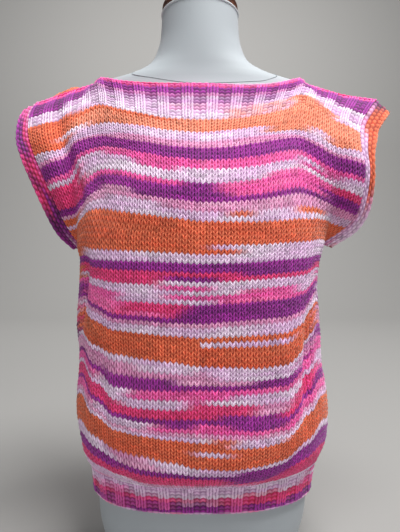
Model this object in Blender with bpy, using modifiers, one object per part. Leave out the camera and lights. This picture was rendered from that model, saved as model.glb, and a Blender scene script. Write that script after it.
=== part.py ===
"""Hand-knitted short-sleeve sweater on a dress form without limbs.

The sweater is two knitted rectangles. Every cloth piece is a wall on one surface, which is laid out in
stitches across and rows down from the top edge, so that pieces that are sewn together share their edges.
The front faces -Y, +Z is up, and the origin is the centre of the form's flat underside.
Tables are in millimetres, everything else is in metres.
"""
import math

import bpy
import numpy as np

COLLECTION = "sweater_on_dress_form"
MM = 0.001

# The knitting: stitches from the centre to the edge, rows from the top, and the wall.
HALF_STITCHES = 34
ROWS = 120
RIB_ROWS = 12
HEM_ROW = 112
ARMHOLE_ROW = 46
NECK_STITCH = 19.5
STITCH_WIDTH = 7.2 * MM
ROW_HEIGHT = 4.9 * MM
WALL = 3.6 * MM
SEAM_GAP = 0.3 * MM

# Ribbing: two stitches out, two stitches in, so that the centre falls between two that are in. The hem is
# knitted on fewer and wider stitches.
RIB_PERIOD = 4
HEM_RIB_HALF_STITCHES = 26
RIB_RELIEF = 1.5 * MM
RIB_TOP_HALF = 0.72
RIB_FOOT_HALF = 1.18

# The surface is worked out on a lattice with this many columns to a stitch. It is softened along the rows,
# in height most of all, but not in the first rows, where the neck opening has its corners. A row's line has
# LINE_STEPS from the centre to the crown, as many on to the fold, and SLEEVE_STEPS from there to the edge.
COLUMNS_PER_STITCH = 2
LINE_STEPS = 23
SLEEVE_STEPS = 9
SIDE_PULL = 1.15
ROW_SOFTENING = (1, 2, 3, 4, 3, 2, 1)
HEIGHT_SOFTENING = (1, 2, 3, 4, 5, 6, 7, 8, 9, 8, 7, 6, 5, 4, 3, 2, 1)
FIRM_ROWS = 8
EVEN_ROW = 20

# Centre of the front and of the back.
CENTRE_COLUMNS = ("row", "front_y", "front_z", "back_y", "back_z")
CENTRE = (
    (0, -60.0, 647.0, 66.0, 664.0),
    (11, -82.0, 594.5, 89.0, 617.0),
    (23, -109.0, 545.5, 106.0, 565.0),
    (33, -121.5, 495.0, 112.0, 516.0),
    (46, -127.0, 430.0, 115.0, 452.0),
    (62, -125.0, 353.0, 114.0, 371.0),
    (80, -122.0, 264.0, 113.0, 283.0),
    (96, -121.0, 184.0, 113.0, 205.0),
    (104, -117.0, 149.0, 113.0, 168.0),
    (109, -103.0, 134.0, 110.0, 143.0),
    (112, -92.5, 125.0, 106.5, 128.0),
    (120, -86.0, 91.0, 106.0, 91.0),
)

# The column that hangs from the neck end of each shoulder seam. turn_in and turn_out are the row's
# direction in plan, in degrees, on the neck's side and on the shoulder's side of that column, and rise is
# the power with which the row climbs to it from the centre.
CROWN_COLUMNS = ("row", "x", "front_y", "front_z", "back_y", "back_z", "turn_in", "turn_out", "rise")
CROWN = (
    (0, 144.5, -4.0, 673.0, -4.0, 673.0, 62.0, -3.0, 2.6),
    (4, 144.0, -20.0, 658.5, 15.0, 661.0, 50.0, 12.0, 2.4),
    (11, 141.0, -46.0, 630.0, 46.0, 635.0, 36.0, 25.0, 2.2),
    (17, 135.0, -60.0, 594.0, 64.0, 604.0, 31.0, 29.0, 2.0),
    (23, 132.0, -69.0, 566.0, 76.0, 580.0, 30.0, 30.0, 2.0),
    (33, 131.0, -80.0, 513.0, 84.0, 530.0, 30.0, 30.0, 2.0),
    (46, 131.0, -90.0, 434.0, 86.0, 449.0, 32.0, 32.0, 2.0),
    (62, 130.0, -91.0, 355.0, 85.0, 371.0, 33.0, 33.0, 2.0),
    (80, 130.0, -90.0, 262.0, 85.0, 284.0, 33.0, 33.0, 2.0),
    (96, 131.0, -89.0, 186.0, 85.0, 205.0, 32.0, 32.0, 2.0),
    (104, 131.0, -85.0, 155.0, 85.0, 167.0, 32.0, 32.0, 2.0),
    (109, 127.0, -74.0, 139.0, 81.0, 143.0, 32.0, 32.0, 2.0),
    (112, 122.0, -65.0, 128.0, 76.0, 127.0, 33.0, 33.0, 2.0),
    (120, 117.0, -62.0, 90.5, 76.0, 90.5, 34.0, 34.0, 2.0),
)

# The fold at the armhole, and below the armhole the side seam. turn is how far, in degrees, the row has
# swung round from facing the front.
SIDE_COLUMNS = ("row", "x", "z", "front_y", "back_y", "turn")
LEFT_SIDE = (
    (0, 214.0, 646.0, -8.0, -8.0, 8.0),
    (4, 205.0, 634.0, -22.0, 16.0, 20.0),
    (10, 195.0, 607.0, -36.0, 35.0, 35.0),
    (18, 185.0, 574.0, -47.0, 46.0, 48.0),
    (23, 178.0, 548.0, -51.0, 50.0, 55.0),
    (33, 171.0, 487.0, -44.0, 46.0, 66.0),
    (40, 171.5, 456.0, -27.0, 28.0, 80.0),
    (46, 174.5, 433.0, 0.0, 0.0, 90.0),
    (50, 168.5, 417.0, 0.0, 0.0, 90.0),
    (60, 171.0, 374.0, 0.0, 0.0, 90.0),
    (69, 173.5, 331.0, 0.0, 0.0, 90.0),
    (76, 167.5, 299.0, 0.0, 0.0, 90.0),
    (82, 169.5, 273.0, 0.0, 0.0, 90.0),
    (88, 174.0, 245.0, 0.0, 0.0, 90.0),
    (94, 175.0, 215.0, 0.0, 0.0, 90.0),
    (101, 168.0, 180.0, 0.0, 0.0, 90.0),
    (108, 161.0, 146.0, 0.0, 0.0, 90.0),
    (114, 154.5, 116.0, 0.0, 0.0, 90.0),
    (120, 153.0, 91.0, 0.0, 0.0, 90.0),
)
RIGHT_SIDE = (
    (0, 214.0, 653.0, -3.0, -3.0, 8.0),
    (4, 200.0, 641.0, -20.0, 18.0, 20.0),
    (10, 185.0, 612.0, -38.0, 37.0, 35.0),
    (18, 179.0, 571.0, -56.0, 48.0, 48.0),
    (23, 181.0, 542.0, -60.0, 52.0, 55.0),
    (33, 181.0, 492.0, -50.0, 46.0, 66.0),
    (40, 179.5, 463.0, -28.0, 28.0, 80.0),
    (46, 177.0, 437.0, 0.0, 0.0, 90.0),
    (52, 167.0, 412.0, 0.0, 0.0, 90.0),
    (59, 161.5, 385.0, 0.0, 0.0, 90.0),
    (66, 164.0, 358.0, 0.0, 0.0, 90.0),
    (74, 167.5, 324.0, 0.0, 0.0, 90.0),
    (83, 171.0, 282.0, 0.0, 0.0, 90.0),
    (89, 178.5, 250.0, 0.0, 0.0, 90.0),
    (96, 183.0, 212.0, 0.0, 0.0, 90.0),
    (102, 181.5, 178.0, 0.0, 0.0, 90.0),
    (107, 173.0, 151.0, 0.0, 0.0, 90.0),
    (112, 165.5, 126.0, 0.0, 0.0, 90.0),
    (120, 160.0, 92.0, 0.0, 0.0, 90.0),
)

# The open edge of each armhole, how far the cloth swells out between the fold and that edge, and how far
# the band picked up along it reaches outwards, downwards and back towards the middle of the opening.
EDGE_COLUMNS = ("row", "x", "z", "front_y", "back_y", "swell", "band_out", "band_down", "band_in")
LEFT_EDGE = (
    (0, 238.0, 639.5, -8.0, -8.0, 0.0, 16.0, 7.0, 0.0),
    (4, 241.0, 623.0, -21.0, 10.0, 3.0, 16.5, 7.0, 2.0),
    (10, 238.5, 594.0, -36.0, 28.0, 6.0, 17.0, 7.0, 3.0),
    (18, 225.5, 557.5, -49.0, 42.0, 9.0, 17.0, 6.5, 3.0),
    (23, 214.0, 531.0, -52.0, 46.0, 9.0, 16.0, 7.5, 3.0),
    (33, 194.5, 483.0, -44.0, 42.0, 6.0, 15.0, 9.0, 3.0),
    (40, 185.5, 457.0, -27.0, 28.0, 3.0, 14.0, 8.0, 2.0),
    (46, 174.5, 433.0, 0.0, 0.0, 0.0, 10.0, 4.0, 0.0),
)
RIGHT_EDGE = (
    (0, 257.0, 647.0, -3.0, -3.0, 0.0, 20.0, 17.0, 0.0),
    (4, 243.0, 631.0, -18.0, 15.0, 2.0, 22.0, 14.0, 1.0),
    (10, 222.0, 597.0, -36.0, 34.0, 4.0, 24.0, 8.0, 2.0),
    (18, 217.0, 561.5, -55.0, 46.0, 5.0, 18.0, 4.0, 3.0),
    (23, 220.5, 536.0, -60.0, 50.0, 6.0, 14.0, 3.0, 5.0),
    (33, 216.0, 484.0, -50.0, 45.0, 6.0, 15.0, 3.0, 5.0),
    (40, 206.0, 461.0, -30.0, 30.0, 3.0, 15.0, 6.0, 4.0),
    (46, 177.0, 437.0, 0.0, 0.0, 0.0, 14.0, 5.0, 0.0),
)

# The largest folds: a soft trough (depth below zero) or ridge from one end to the other. Stitches below
# zero are on the left of the front as it is seen.
FOLD_COLUMNS = ("face", "row_a", "stitch_a", "row_b", "stitch_b", "half_width", "height")
FOLDS = (
    ("front", 48, -22.5, 72, -25.0, 7.0, -8.5),
    ("front", 68, -19.5, 96, -17.0, 9.0, -4.0),
    ("front", 70, -26.5, 94, -26.0, 14.0, 3.0),
    ("front", 58, 21.5, 96, 19.5, 7.5, -9.0),
    ("front", 64, 26.5, 96, 25.5, 13.0, 3.0),
    ("back", 44, -27.0, 92, -25.0, 10.0, -7.0),
    ("back", 48, 27.0, 96, 25.0, 10.0, -7.0),
    ("back", 22, -14.0, 58, -18.0, 16.0, -4.0),
    ("back", 20, 15.0, 54, 19.0, 16.0, -4.0),
)

FOLD_END = 0.6

# Where the cloth is raised or lowered: behind the left shoulder's seam it stands up, the back's neck edge is
# a little higher at its corners, and the front's droops on the right.
LIFT_COLUMNS = ("face", "row", "stitch", "rows_round", "stitches_round", "height")
LIFTS = (
    ("back", 3.4, -27.5, 4.6, 8.5, 28.0),
    ("back", 0.0, -16.5, 4.0, 5.0, 5.0),
    ("back", 0.0, 16.5, 4.0, 5.0, 5.0),
    ("front", 0.0, 12.0, 9.0, 14.0, -3.5),
)

# The dress form: height above its underside, half width, depth to the front and to the back, shift to
# +X, and the power of its rounded outline (2 is an ellipse).
FORM_COLUMNS = ("z", "half_width", "front", "back", "shift", "power")
FORM = (
    (0.0, 128.0, 64.0, 86.0, 2.0, 2.2),
    (6.0, 133.0, 68.0, 90.0, 2.0, 2.2),
    (22.0, 139.0, 72.0, 95.0, 2.0, 2.2),
    (60.0, 148.0, 77.0, 100.0, 3.0, 2.2),
    (95.0, 150.0, 79.5, 101.0, 3.5, 2.2),
    (130.0, 148.0, 82.0, 100.0, 3.5, 2.2),
    (205.0, 136.0, 84.0, 91.0, 2.0, 2.2),
    (285.0, 123.0, 86.0, 80.0, 0.0, 2.2),
    (355.0, 134.0, 98.0, 84.0, 0.0, 2.2),
    (405.0, 148.0, 112.0, 94.0, 0.0, 2.2),
    (450.0, 154.0, 119.5, 101.0, 0.0, 2.2),
    (495.0, 159.0, 114.0, 103.0, 0.0, 2.2),
    (550.0, 166.0, 98.0, 99.0, 0.0, 2.1),
    (600.0, 173.0, 74.0, 88.0, 0.0, 2.0),
    (630.0, 175.0, 61.0, 76.0, 0.0, 2.0),
    (645.0, 172.0, 55.0, 68.0, 0.0, 1.9),
    (656.0, 162.0, 52.0, 63.0, 0.0, 1.9),
    (663.5, 151.0, 51.0, 60.0, 0.0, 1.9),
    (669.5, 143.0, 50.5, 59.0, 0.0, 1.9),
    (677.0, 114.0, 50.0, 58.0, 0.5, 1.9),
    (686.0, 89.0, 50.0, 57.0, 1.0, 2.0),
    (695.0, 74.5, 50.0, 56.0, 0.5, 2.0),
    (709.0, 65.0, 50.0, 55.5, 0.0, 2.0),
    (735.0, 57.5, 50.0, 55.0, 0.0, 2.0),
    (772.0, 55.0, 50.0, 55.0, 0.0, 2.0),
)
FORM_SIDES = 48
CLOTH_CLEARANCE = 2.8 * MM
LARGEST_PUSH = 12 * MM
MITRE_LIMIT = 3.0
NOT_LENGTHS = ("row", "turn", "turn_in", "turn_out", "rise", "power")

# The cap: a turned disc with rounded edges, stretched to the neck's oval.
CAP_HEIGHT = 16 * MM
CAP_ROUND = 5 * MM
CAP_CROWN = 3 * MM
CAP_STEPS = 4
CAP_SIDES = 32

# How coarsely the solids follow the surface.
HALF_COLUMNS = (3.5, 7.0, 10.5, 13.5, 16.0, 18.0, 19.5, 21.0, 22.5, 24.0, 26.0, 28.0, 30.0, 32.0, 34.0)
STITCHES = np.array([-place for place in HALF_COLUMNS[::-1]] + [0.0] + list(HALF_COLUMNS))
NECK_RIB_ROWS = np.array((0.0, 2.0, 4.0, 6.0, 9.0, RIB_ROWS))
PANEL_ROWS = np.concatenate((np.linspace(RIB_ROWS, ARMHOLE_ROW, 9),
                             np.linspace(ARMHOLE_ROW, HEM_ROW, 16)[1:])).round()
HEM_RIB_ROWS = np.linspace(HEM_ROW, ROWS, 4).round()
ARMHOLE_ROWS = np.concatenate((NECK_RIB_ROWS, PANEL_ROWS[1:9]))
BAND_ROWS = np.concatenate((ARMHOLE_ROWS[:-1], [ARMHOLE_ROW - 1.2]))
BAND_STEPS = (0.0, 0.5, 1.0)

MATERIALS = {
    "knit_orange": ((0.80, 0.30, 0.13), 0.9),
    "knit_lilac": ((0.72, 0.52, 0.74), 0.9),
    "knit_purple": ((0.25, 0.03, 0.35), 0.9),
    "knit_pink": ((0.82, 0.12, 0.38), 0.9),
    "form_cloth": ((0.80, 0.82, 0.85), 0.75),
    "cap_wood": ((0.16, 0.07, 0.03), 0.45),
}


def column(table, names, name):
    """One named column of a table, in metres where it is a length."""
    values = np.array([line[names.index(name)] for line in table], dtype=float)
    return values if name in NOT_LENGTHS else values * MM


def smooth(stations, values, where, flat_start=False):
    """Cubic through the stations that doesn't overshoot between them."""
    stations = np.asarray(stations, dtype=float)
    values = np.asarray(values, dtype=float)
    step = np.diff(stations)
    slope = np.diff(values) / step
    tangent = np.zeros(len(values))
    same_way = slope[:-1] * slope[1:] > 0
    before = slope[:-1][same_way]
    after = slope[1:][same_way]
    tangent[1:-1][same_way] = 2 * before * after / (before + after)
    tangent[0] = 0.0 if flat_start else slope[0]
    tangent[-1] = slope[-1]
    where = np.clip(where, stations[0], stations[-1])
    index = np.clip(np.searchsorted(stations, where, side="right") - 1, 0, len(step) - 1)
    width = step[index]
    part = (where - stations[index]) / width
    square = part * part
    cube = square * part
    return ((2 * cube - 3 * square + 1) * values[index] + (cube - 2 * square + part) * width * tangent[index]
            + (3 * square - 2 * cube) * values[index + 1] + (cube - square) * width * tangent[index + 1])


def at_row(table, names, row):
    """The table's columns, by name, read at one row."""
    rows = column(table, names, names[0])
    return {name: float(smooth(rows, column(table, names, name), row)) for name in names[1:]}


def hermite(start, end, start_pull, end_pull, count):
    """Points of a cubic that leaves start along start_pull and reaches end along end_pull."""
    part = np.linspace(0, 1, count)[:, None]
    square = part * part
    cube = square * part
    return ((2 * cube - 3 * square + 1) * start + (cube - 2 * square + part) * start_pull
            + (3 * square - 2 * cube) * end + (cube - square) * end_pull)


def heading(turn, towards_back):
    """A direction in plan that has swung round by turn degrees from straight across."""
    return np.array([math.cos(math.radians(turn)), towards_back * math.sin(math.radians(turn))])


def half_row(face, side, row):
    """Half a row, from the centre to the edge, as evenly spaced lattice points."""
    centre = at_row(CENTRE, CENTRE_COLUMNS, row)
    crown = at_row(CROWN, CROWN_COLUMNS, row)
    fold = at_row(LEFT_SIDE if side < 0 else RIGHT_SIDE, SIDE_COLUMNS, row)
    towards_back = 1 if face == "front" else -1
    middle = np.array([0.0, centre[face + "_y"]])
    neck = np.array([crown["x"], crown[face + "_y"]])
    armhole = np.array([fold["x"], fold[face + "_y"]])
    first = np.linalg.norm(neck - middle)
    second = np.linalg.norm(armhole - neck)
    plan = np.vstack((
        hermite(middle, neck, heading(0, towards_back) * first,
                heading(crown["turn_in"], towards_back) * first, LINE_STEPS + 1)[:-1],
        hermite(neck, armhole, heading(crown["turn_out"], towards_back) * second,
                heading(fold["turn"], towards_back) * second * SIDE_PULL, LINE_STEPS + 1)))
    heights_at = [LINE_STEPS, 2 * LINE_STEPS]
    heights = [crown[face + "_z"], fold["z"]]
    if row < ARMHOLE_ROW:
        edge = at_row(LEFT_EDGE if side < 0 else RIGHT_EDGE, EDGE_COLUMNS, row)
        rim = np.array([edge["x"], edge[face + "_y"]])
        part = np.linspace(0, 1, SLEEVE_STEPS + 1)[1:, None]
        swell = np.array([[0.0, -towards_back * edge["swell"]]]) * 4 * part * (1 - part)
        plan = np.vstack((plan, armhole + (rim - armhole) * part + swell))
        heights_at.append(2 * LINE_STEPS + SLEEVE_STEPS)
        heights.append(edge["z"])
    along = np.concatenate(([0.0], np.cumsum(np.linalg.norm(np.diff(plan, axis=0), axis=1))))
    climb = crown[face + "_z"] - centre[face + "_z"]
    to_crown = along[:LINE_STEPS + 1] / along[LINE_STEPS]
    z = np.concatenate((centre[face + "_z"] + climb * to_crown ** crown["rise"],
                        smooth(along[heights_at], heights, along[LINE_STEPS + 1:])))
    line = np.column_stack((side * plan[:, 0], plan[:, 1], z))
    along = np.concatenate(([0.0], np.cumsum(np.linalg.norm(np.diff(line, axis=0), axis=1))))
    evenness = min(row / EVEN_ROW, 1.0)
    neck_at = NECK_STITCH + (HALF_STITCHES * along[LINE_STEPS] / along[-1] - NECK_STITCH) * evenness
    stitches = np.linspace(0, HALF_STITCHES, HALF_STITCHES * COLUMNS_PER_STITCH + 1)
    places = np.interp(stitches, (0, neck_at, HALF_STITCHES), (0, along[LINE_STEPS], along[-1]))
    return np.column_stack([np.interp(places, along, line[:, axis]) for axis in range(3)])


def soften(points, weights):
    """Weighted mean along the first axis, with both ends held where they are."""
    reach = len(weights) // 2
    before = 2 * points[:1] - points[reach:0:-1]
    after = 2 * points[-1:] - points[-2:-reach - 2:-1]
    padded = np.concatenate((before, points, after))
    total = sum(weight * padded[start:start + len(points)] for start, weight in enumerate(weights))
    return total / sum(weights)


def outward_normals(points, flip):
    """Unit normals of a lattice of points, on the side that flip chooses."""
    across = np.gradient(points, axis=1)
    down = np.gradient(points, axis=0)
    normals = np.cross(down, across) * flip
    return normals / np.linalg.norm(normals, axis=2, keepdims=True)


def bump(distance):
    """One at zero distance, falling smoothly to nothing at a distance of one."""
    return np.cos(np.clip(np.abs(distance), 0, 1) * math.pi / 2) ** 2


def fold_heights(face, points):
    """How far every lattice point is moved along its normal by the folds in the table."""
    rows, columns = points.shape[:2]
    row = np.arange(rows)[:, None] + np.zeros((1, columns))
    stitch = np.arange(columns)[None, :] / COLUMNS_PER_STITCH - HALF_STITCHES + np.zeros((rows, 1))
    heights = np.zeros((rows, columns))
    for which, row_a, stitch_a, row_b, stitch_b, half_width, height in FOLDS:
        if which != face:
            continue
        ahead = np.array([(row_b - row_a) * ROW_HEIGHT, (stitch_b - stitch_a) * STITCH_WIDTH])
        length = np.linalg.norm(ahead)
        ahead = ahead / length
        down = (row - row_a) * ROW_HEIGHT
        across = (stitch - stitch_a) * STITCH_WIDTH
        along = down * ahead[0] + across * ahead[1]
        beside = across * ahead[0] - down * ahead[1]
        reach = half_width * MM
        ends = bump((along - length / 2) / (length / 2 + reach)) ** FOLD_END
        heights += height * MM * bump(beside / (2 * reach)) * ends
    return heights


def lift_heights(face, rows, columns):
    """How far every lattice point is raised by the table of lifts."""
    row = np.arange(rows)[:, None]
    stitch = np.arange(columns)[None, :] / COLUMNS_PER_STITCH - HALF_STITCHES
    heights = np.zeros((rows, columns))
    for which, middle_row, middle_stitch, rows_round, stitches_round, height in LIFTS:
        if which == face:
            heights += (height * MM * bump((row - middle_row) / rows_round)
                        * bump((stitch - middle_stitch) / stitches_round))
    return heights


def face_lattice(face):
    """The points of one face of the sweater: a line for each row, from the left edge to the right."""
    lines = []
    for row in range(ROWS + 1):
        left = half_row(face, -1, row)
        right = half_row(face, 1, row)
        lines.append(np.vstack((left[::-1], right[1:])))
    points = np.array(lines)
    softened = soften(points.transpose(1, 0, 2), ROW_SOFTENING).transpose(1, 0, 2)
    softened[:, :, 2] = soften(points[:, :, 2].transpose(), HEIGHT_SOFTENING).transpose()
    share = np.clip(np.arange(ROWS + 1) / FIRM_ROWS, 0, 1)[:, None, None]
    points = soften(points + (softened - points) * share, (1, 2, 1))
    points[:, :, 2] += lift_heights(face, *points.shape[:2])
    normals = outward_normals(points, face_flip(face))
    return points + normals * fold_heights(face, points)[:, :, None]


def face_flip(face):
    """The sign that turns a lattice's normals to the outside."""
    return 1 if face == "front" else -1


def band_path():
    """The face and the row of every line of a band, from the shoulder down the front and up the back."""
    return [("front", row) for row in BAND_ROWS] + [("back", row) for row in BAND_ROWS[:0:-1]]


def edge_point(lattice, side, row):
    """A point of the armhole edge, on the straight pieces between the rows that the solids use."""
    corners = sample(lattice, ARMHOLE_ROWS, [side * HALF_STITCHES])[:, 0]
    return np.array([np.interp(row, ARMHOLE_ROWS, corners[:, axis]) for axis in range(3)])


def band_lattice(side, points):
    """A ring round one armhole."""
    table = LEFT_EDGE if side < 0 else RIGHT_EDGE
    lines = []
    for face, row in band_path():
        towards_middle = 1 if face == "front" else -1
        start = edge_point(points[face], side, row)
        size = at_row(table, EDGE_COLUMNS, row)
        reach = np.array([side * size["band_out"], towards_middle * size["band_in"], -size["band_down"]])
        first = SEAM_GAP / np.linalg.norm(reach)
        lines.append([start + reach * (first + (1 - first) * step) for step in BAND_STEPS])
    return np.array(lines)


def ring_normals(points, flip):
    """Normals of a lattice that closes on itself along its first axis."""
    closed = np.concatenate((points[-1:], points, points[:1]))
    return outward_normals(closed, flip)[1:-1]


def form_level(places):
    """How far out points lie on the form's scale, where one is on its surface."""
    heights = column(FORM, FORM_COLUMNS, "z")
    size = {name: smooth(heights, column(FORM, FORM_COLUMNS, name), places[..., 2])
            for name in FORM_COLUMNS[1:]}
    across = np.abs(places[..., 0] - size["shift"]) / size["half_width"]
    ahead = np.abs(places[..., 1]) / np.where(places[..., 1] > 0, size["back"], size["front"])
    return (across ** size["power"] + ahead ** size["power"]) ** (1 / size["power"])


def rest_on_form(points, through):
    """The cloth moved out to where its inside just clears the form."""
    small = 0.2 * MM
    for _ in range(4):
        inside = points - through * WALL
        level = form_level(inside)
        slope = np.stack([(form_level(inside + step) - form_level(inside - step)) / (2 * small)
                          for step in np.eye(3) * small], axis=-1)
        steepness = np.linalg.norm(slope, axis=-1, keepdims=True)
        short = CLOTH_CLEARANCE - (level[..., None] - 1) / steepness
        points = points + np.clip(short, 0, LARGEST_PUSH) * slope / steepness
    return points


def mitre(first, second):
    """One direction for two walls that meet, longer the sharper they turn, which keeps their thickness."""
    mean = (first + second) / 2
    length = np.maximum(np.linalg.norm(mean, axis=-1, keepdims=True), 1 / MITRE_LIMIT ** 0.5)
    return mean / length ** 2


def soften_both_ways(points):
    """A lattice softened along its rows and along its stitches."""
    for _ in range(4):
        points = soften(points, (1, 2, 3, 2, 1)).transpose(1, 0, 2)
        points = soften(points, ROW_SOFTENING).transpose(1, 0, 2)
    return points


def joined(points, seams):
    """Both faces with the same points along the seams they share."""
    for seam in seams:
        middle = (points["front"][seam] + points["back"][seam]) / 2
        points["front"][seam] = middle
        points["back"][seam] = middle
    return points


def shared_directions(points, seams):
    """The directions out through the wall of both faces, made alike along the seams they share."""
    through = {face: outward_normals(soften_both_ways(points[face]), face_flip(face)) for face in points}
    for seam in seams:
        middle = mitre(through["front"][seam], through["back"][seam])
        through["front"][seam] = middle
        through["back"][seam] = middle
    return through


def garment():
    """Points and wall directions of the two faces and the two bands."""
    points = {face: face_lattice(face) for face in ("front", "back")}
    neck = int((HALF_STITCHES - NECK_STITCH) * COLUMNS_PER_STITCH)
    seams = [(0, slice(0, neck + 1)), (0, slice(-neck - 1, None)),
             (slice(ARMHOLE_ROW, None), 0), (slice(ARMHOLE_ROW, None), -1)]
    for _ in range(2):
        points = joined(points, seams)
        through = shared_directions(points, seams)
        points = {face: rest_on_form(points[face], through[face]) for face in points}
    through = shared_directions(points, seams)
    bands = {}
    for name, side in (("left", -1), ("right", 1)):
        ring = band_lattice(side, points)
        ring_through = ring_normals(ring, side)
        edge = 0 if side < 0 else -1
        for face in points:
            corners = sample(through[face], ARMHOLE_ROWS, [side * HALF_STITCHES])[:, 0]
            for line, (which, row) in enumerate(band_path()):
                if which == face and 0 < row < ARMHOLE_ROWS[-2] + 1:
                    place = list(ARMHOLE_ROWS).index(row)
                    corners[place] = mitre(corners[place], ring_through[line, 0])
            for row in range(ARMHOLE_ROW):
                through[face][row, edge] = [np.interp(row, ARMHOLE_ROWS, corners[:, axis])
                                            for axis in range(3)]
        for line, (face, row) in enumerate(band_path()):
            ring_through[line, 0] = edge_point(through[face], side, row)
        bands[name] = (ring, ring_through)
    return points, through, bands


def sample(lattice, rows, stitches):
    """The lattice read at every crossing of the rows and the stitches."""
    columns = (np.asarray(stitches) + HALF_STITCHES) * COLUMNS_PER_STITCH
    index = np.arange(lattice.shape[1])
    lines = []
    for row in rows:
        low = min(int(row), lattice.shape[0] - 2)
        line = lattice[low] + (lattice[low + 1] - lattice[low]) * (row - low)
        lines.append(np.column_stack([np.interp(columns, index, line[:, axis]) for axis in range(3)]))
    return np.array(lines)


def rim_face(a, b, under_a, under_b, flip, swap):
    """A rim's quad. Flip turns it over, and swap picks its other diagonal: both rims of a seam match."""
    if swap:
        return (b, a, under_a, under_b) if flip else (b, under_b, under_a, a)
    return (a, under_a, under_b, b) if flip else (a, b, under_b, under_a)


def wall_mesh(outer, inner, ring_turn=None):
    """Vertices and faces of a wall between two lattices of points.

    With ring_turn the lattice is a ring whose lines go down as far as that line and then up again.
    """
    lines, columns = outer.shape[:2]
    vertices = np.concatenate((outer.reshape(-1, 3), inner.reshape(-1, 3)))
    under = lines * columns
    faces = []
    closed = ring_turn is not None
    for line in range(lines if closed else lines - 1):
        after = (line + 1) % lines
        swap = closed and line >= ring_turn
        for place in range(columns - 1):
            a = line * columns + place
            b = after * columns + place
            faces.append((a, a + 1, b + 1, b))
            faces.append((under + a, under + b, under + b + 1, under + a + 1))
        for place in (0, columns - 1):
            a = line * columns + place
            b = after * columns + place
            faces.append(rim_face(a, b, under + a, under + b, place > 0, swap))
    if not closed:
        for line in (0, lines - 1):
            for place in range(columns - 1):
                a = line * columns + place
                faces.append(rim_face(a, a + 1, under + a, under + a + 1, line == 0, False))
    return vertices, faces


def add_object(name, vertices, faces, material, collection):
    """A mesh object whose faces are turned outwards."""
    mesh = bpy.data.meshes.new(name)
    mesh.from_pydata([tuple(map(float, point)) for point in vertices], [], faces)
    mesh.update()
    volume = sum(polygon.center.dot(polygon.normal) * polygon.area for polygon in mesh.polygons)
    if volume < 0:
        mesh.flip_normals()
    mesh.shade_smooth()
    mesh.set_sharp_from_angle(angle=math.radians(50))
    mesh.materials.append(material)
    piece = bpy.data.objects.new(name, mesh)
    collection.objects.link(piece)
    return piece


def make_material(name):
    """A plain Principled material in the colour and roughness of the table."""
    color, roughness = MATERIALS[name]
    material = bpy.data.materials.new(name)
    material.use_nodes = True
    shader = material.node_tree.nodes["Principled BSDF"]
    shader.inputs["Base Color"].default_value = (*color, 1.0)
    shader.inputs["Roughness"].default_value = roughness
    shader.inputs["Metallic"].default_value = 0.0
    return material


def rib_columns(half_stitches):
    """Where the foot and the top of every raised pair of stitches lies, and how high each point is.

    The border has half_stitches of its own on each side of its centre. At both edges one stitch of a pair
    is left, and it is raised as far as the edge.
    """
    stitches = [-half_stitches]
    heights = [1.0]
    for centre in np.arange(-half_stitches, half_stitches + 1, RIB_PERIOD):
        for offset, height in ((-RIB_FOOT_HALF, 0.0), (-RIB_TOP_HALF, 1.0), (RIB_TOP_HALF, 1.0),
                               (RIB_FOOT_HALF, 0.0)):
            if abs(centre + offset) < half_stitches:
                stitches.append(centre + offset)
                heights.append(height)
    stitches.append(half_stitches)
    heights.append(1.0)
    return np.array(stitches) * HALF_STITCHES / half_stitches, np.array(heights) * RIB_RELIEF


def trimmed(stations, gap):
    """The stations with both ends drawn in by a gap."""
    stations = np.array(stations, dtype=float)
    stations[0] += gap
    stations[-1] -= gap
    return stations


def piece_grid(lattice, rows, stitches):
    """The lattice at a piece's rows, on the straight pieces between the columns that all solids share."""
    corners = sample(lattice, trimmed(rows, SEAM_GAP / ROW_HEIGHT), STITCHES)
    places = trimmed(stitches, SEAM_GAP / STITCH_WIDTH)
    return np.stack([[np.interp(places, STITCHES, line[:, axis]) for axis in range(3)]
                     for line in corners]).transpose(0, 2, 1)


def build_panels(points, through, paints, collection):
    """Front and back between their ribs."""
    for face, paint in (("front", "knit_orange"), ("back", "knit_pink")):
        outer = piece_grid(points[face], PANEL_ROWS, STITCHES)
        inner = outer - piece_grid(through[face], PANEL_ROWS, STITCHES) * WALL
        vertices, faces = wall_mesh(outer, inner)
        add_object(face + "_panel", vertices, faces, paints[paint], collection)


def build_ribs(points, through, paints, collection):
    """The ribbed borders: raised pairs of stitches over a plain inside."""
    for name, rows, half_stitches, paint in (("neck", NECK_RIB_ROWS, HALF_STITCHES, "knit_purple"),
                                             ("hem", HEM_RIB_ROWS, HEM_RIB_HALF_STITCHES, "knit_lilac")):
        stitches, heights = rib_columns(half_stitches)
        for face in ("front", "back"):
            base = piece_grid(points[face], rows, stitches)
            normal = piece_grid(through[face], rows, stitches)
            outer = base + normal * heights[None, :, None]
            inner = base - normal * WALL
            vertices, faces = wall_mesh(outer, inner)
            add_object(f"{face}_{name}_rib", vertices, faces, paints[paint], collection)


def build_bands(bands, paints, collection):
    """The bands round the armholes."""
    for name, (ring, through) in bands.items():
        vertices, faces = wall_mesh(ring, ring - through * WALL, ring_turn=len(BAND_ROWS))
        add_object(name + "_sleeve_band", vertices, faces, paints["knit_purple"], collection)


def oval_ring(z, half_width, front, back, shift, power, sides):
    """A ring of points round an oval with its own depth to the front and to the back."""
    ring = []
    for index in range(sides):
        angle = 2 * math.pi * index / sides
        across = math.cos(angle)
        ahead = math.sin(angle)
        depth = back if ahead > 0 else front
        x = math.copysign(abs(across) ** (2 / power), across) * half_width + shift
        y = math.copysign(abs(ahead) ** (2 / power), ahead) * depth
        ring.append((x, y, z))
    return ring


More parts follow.
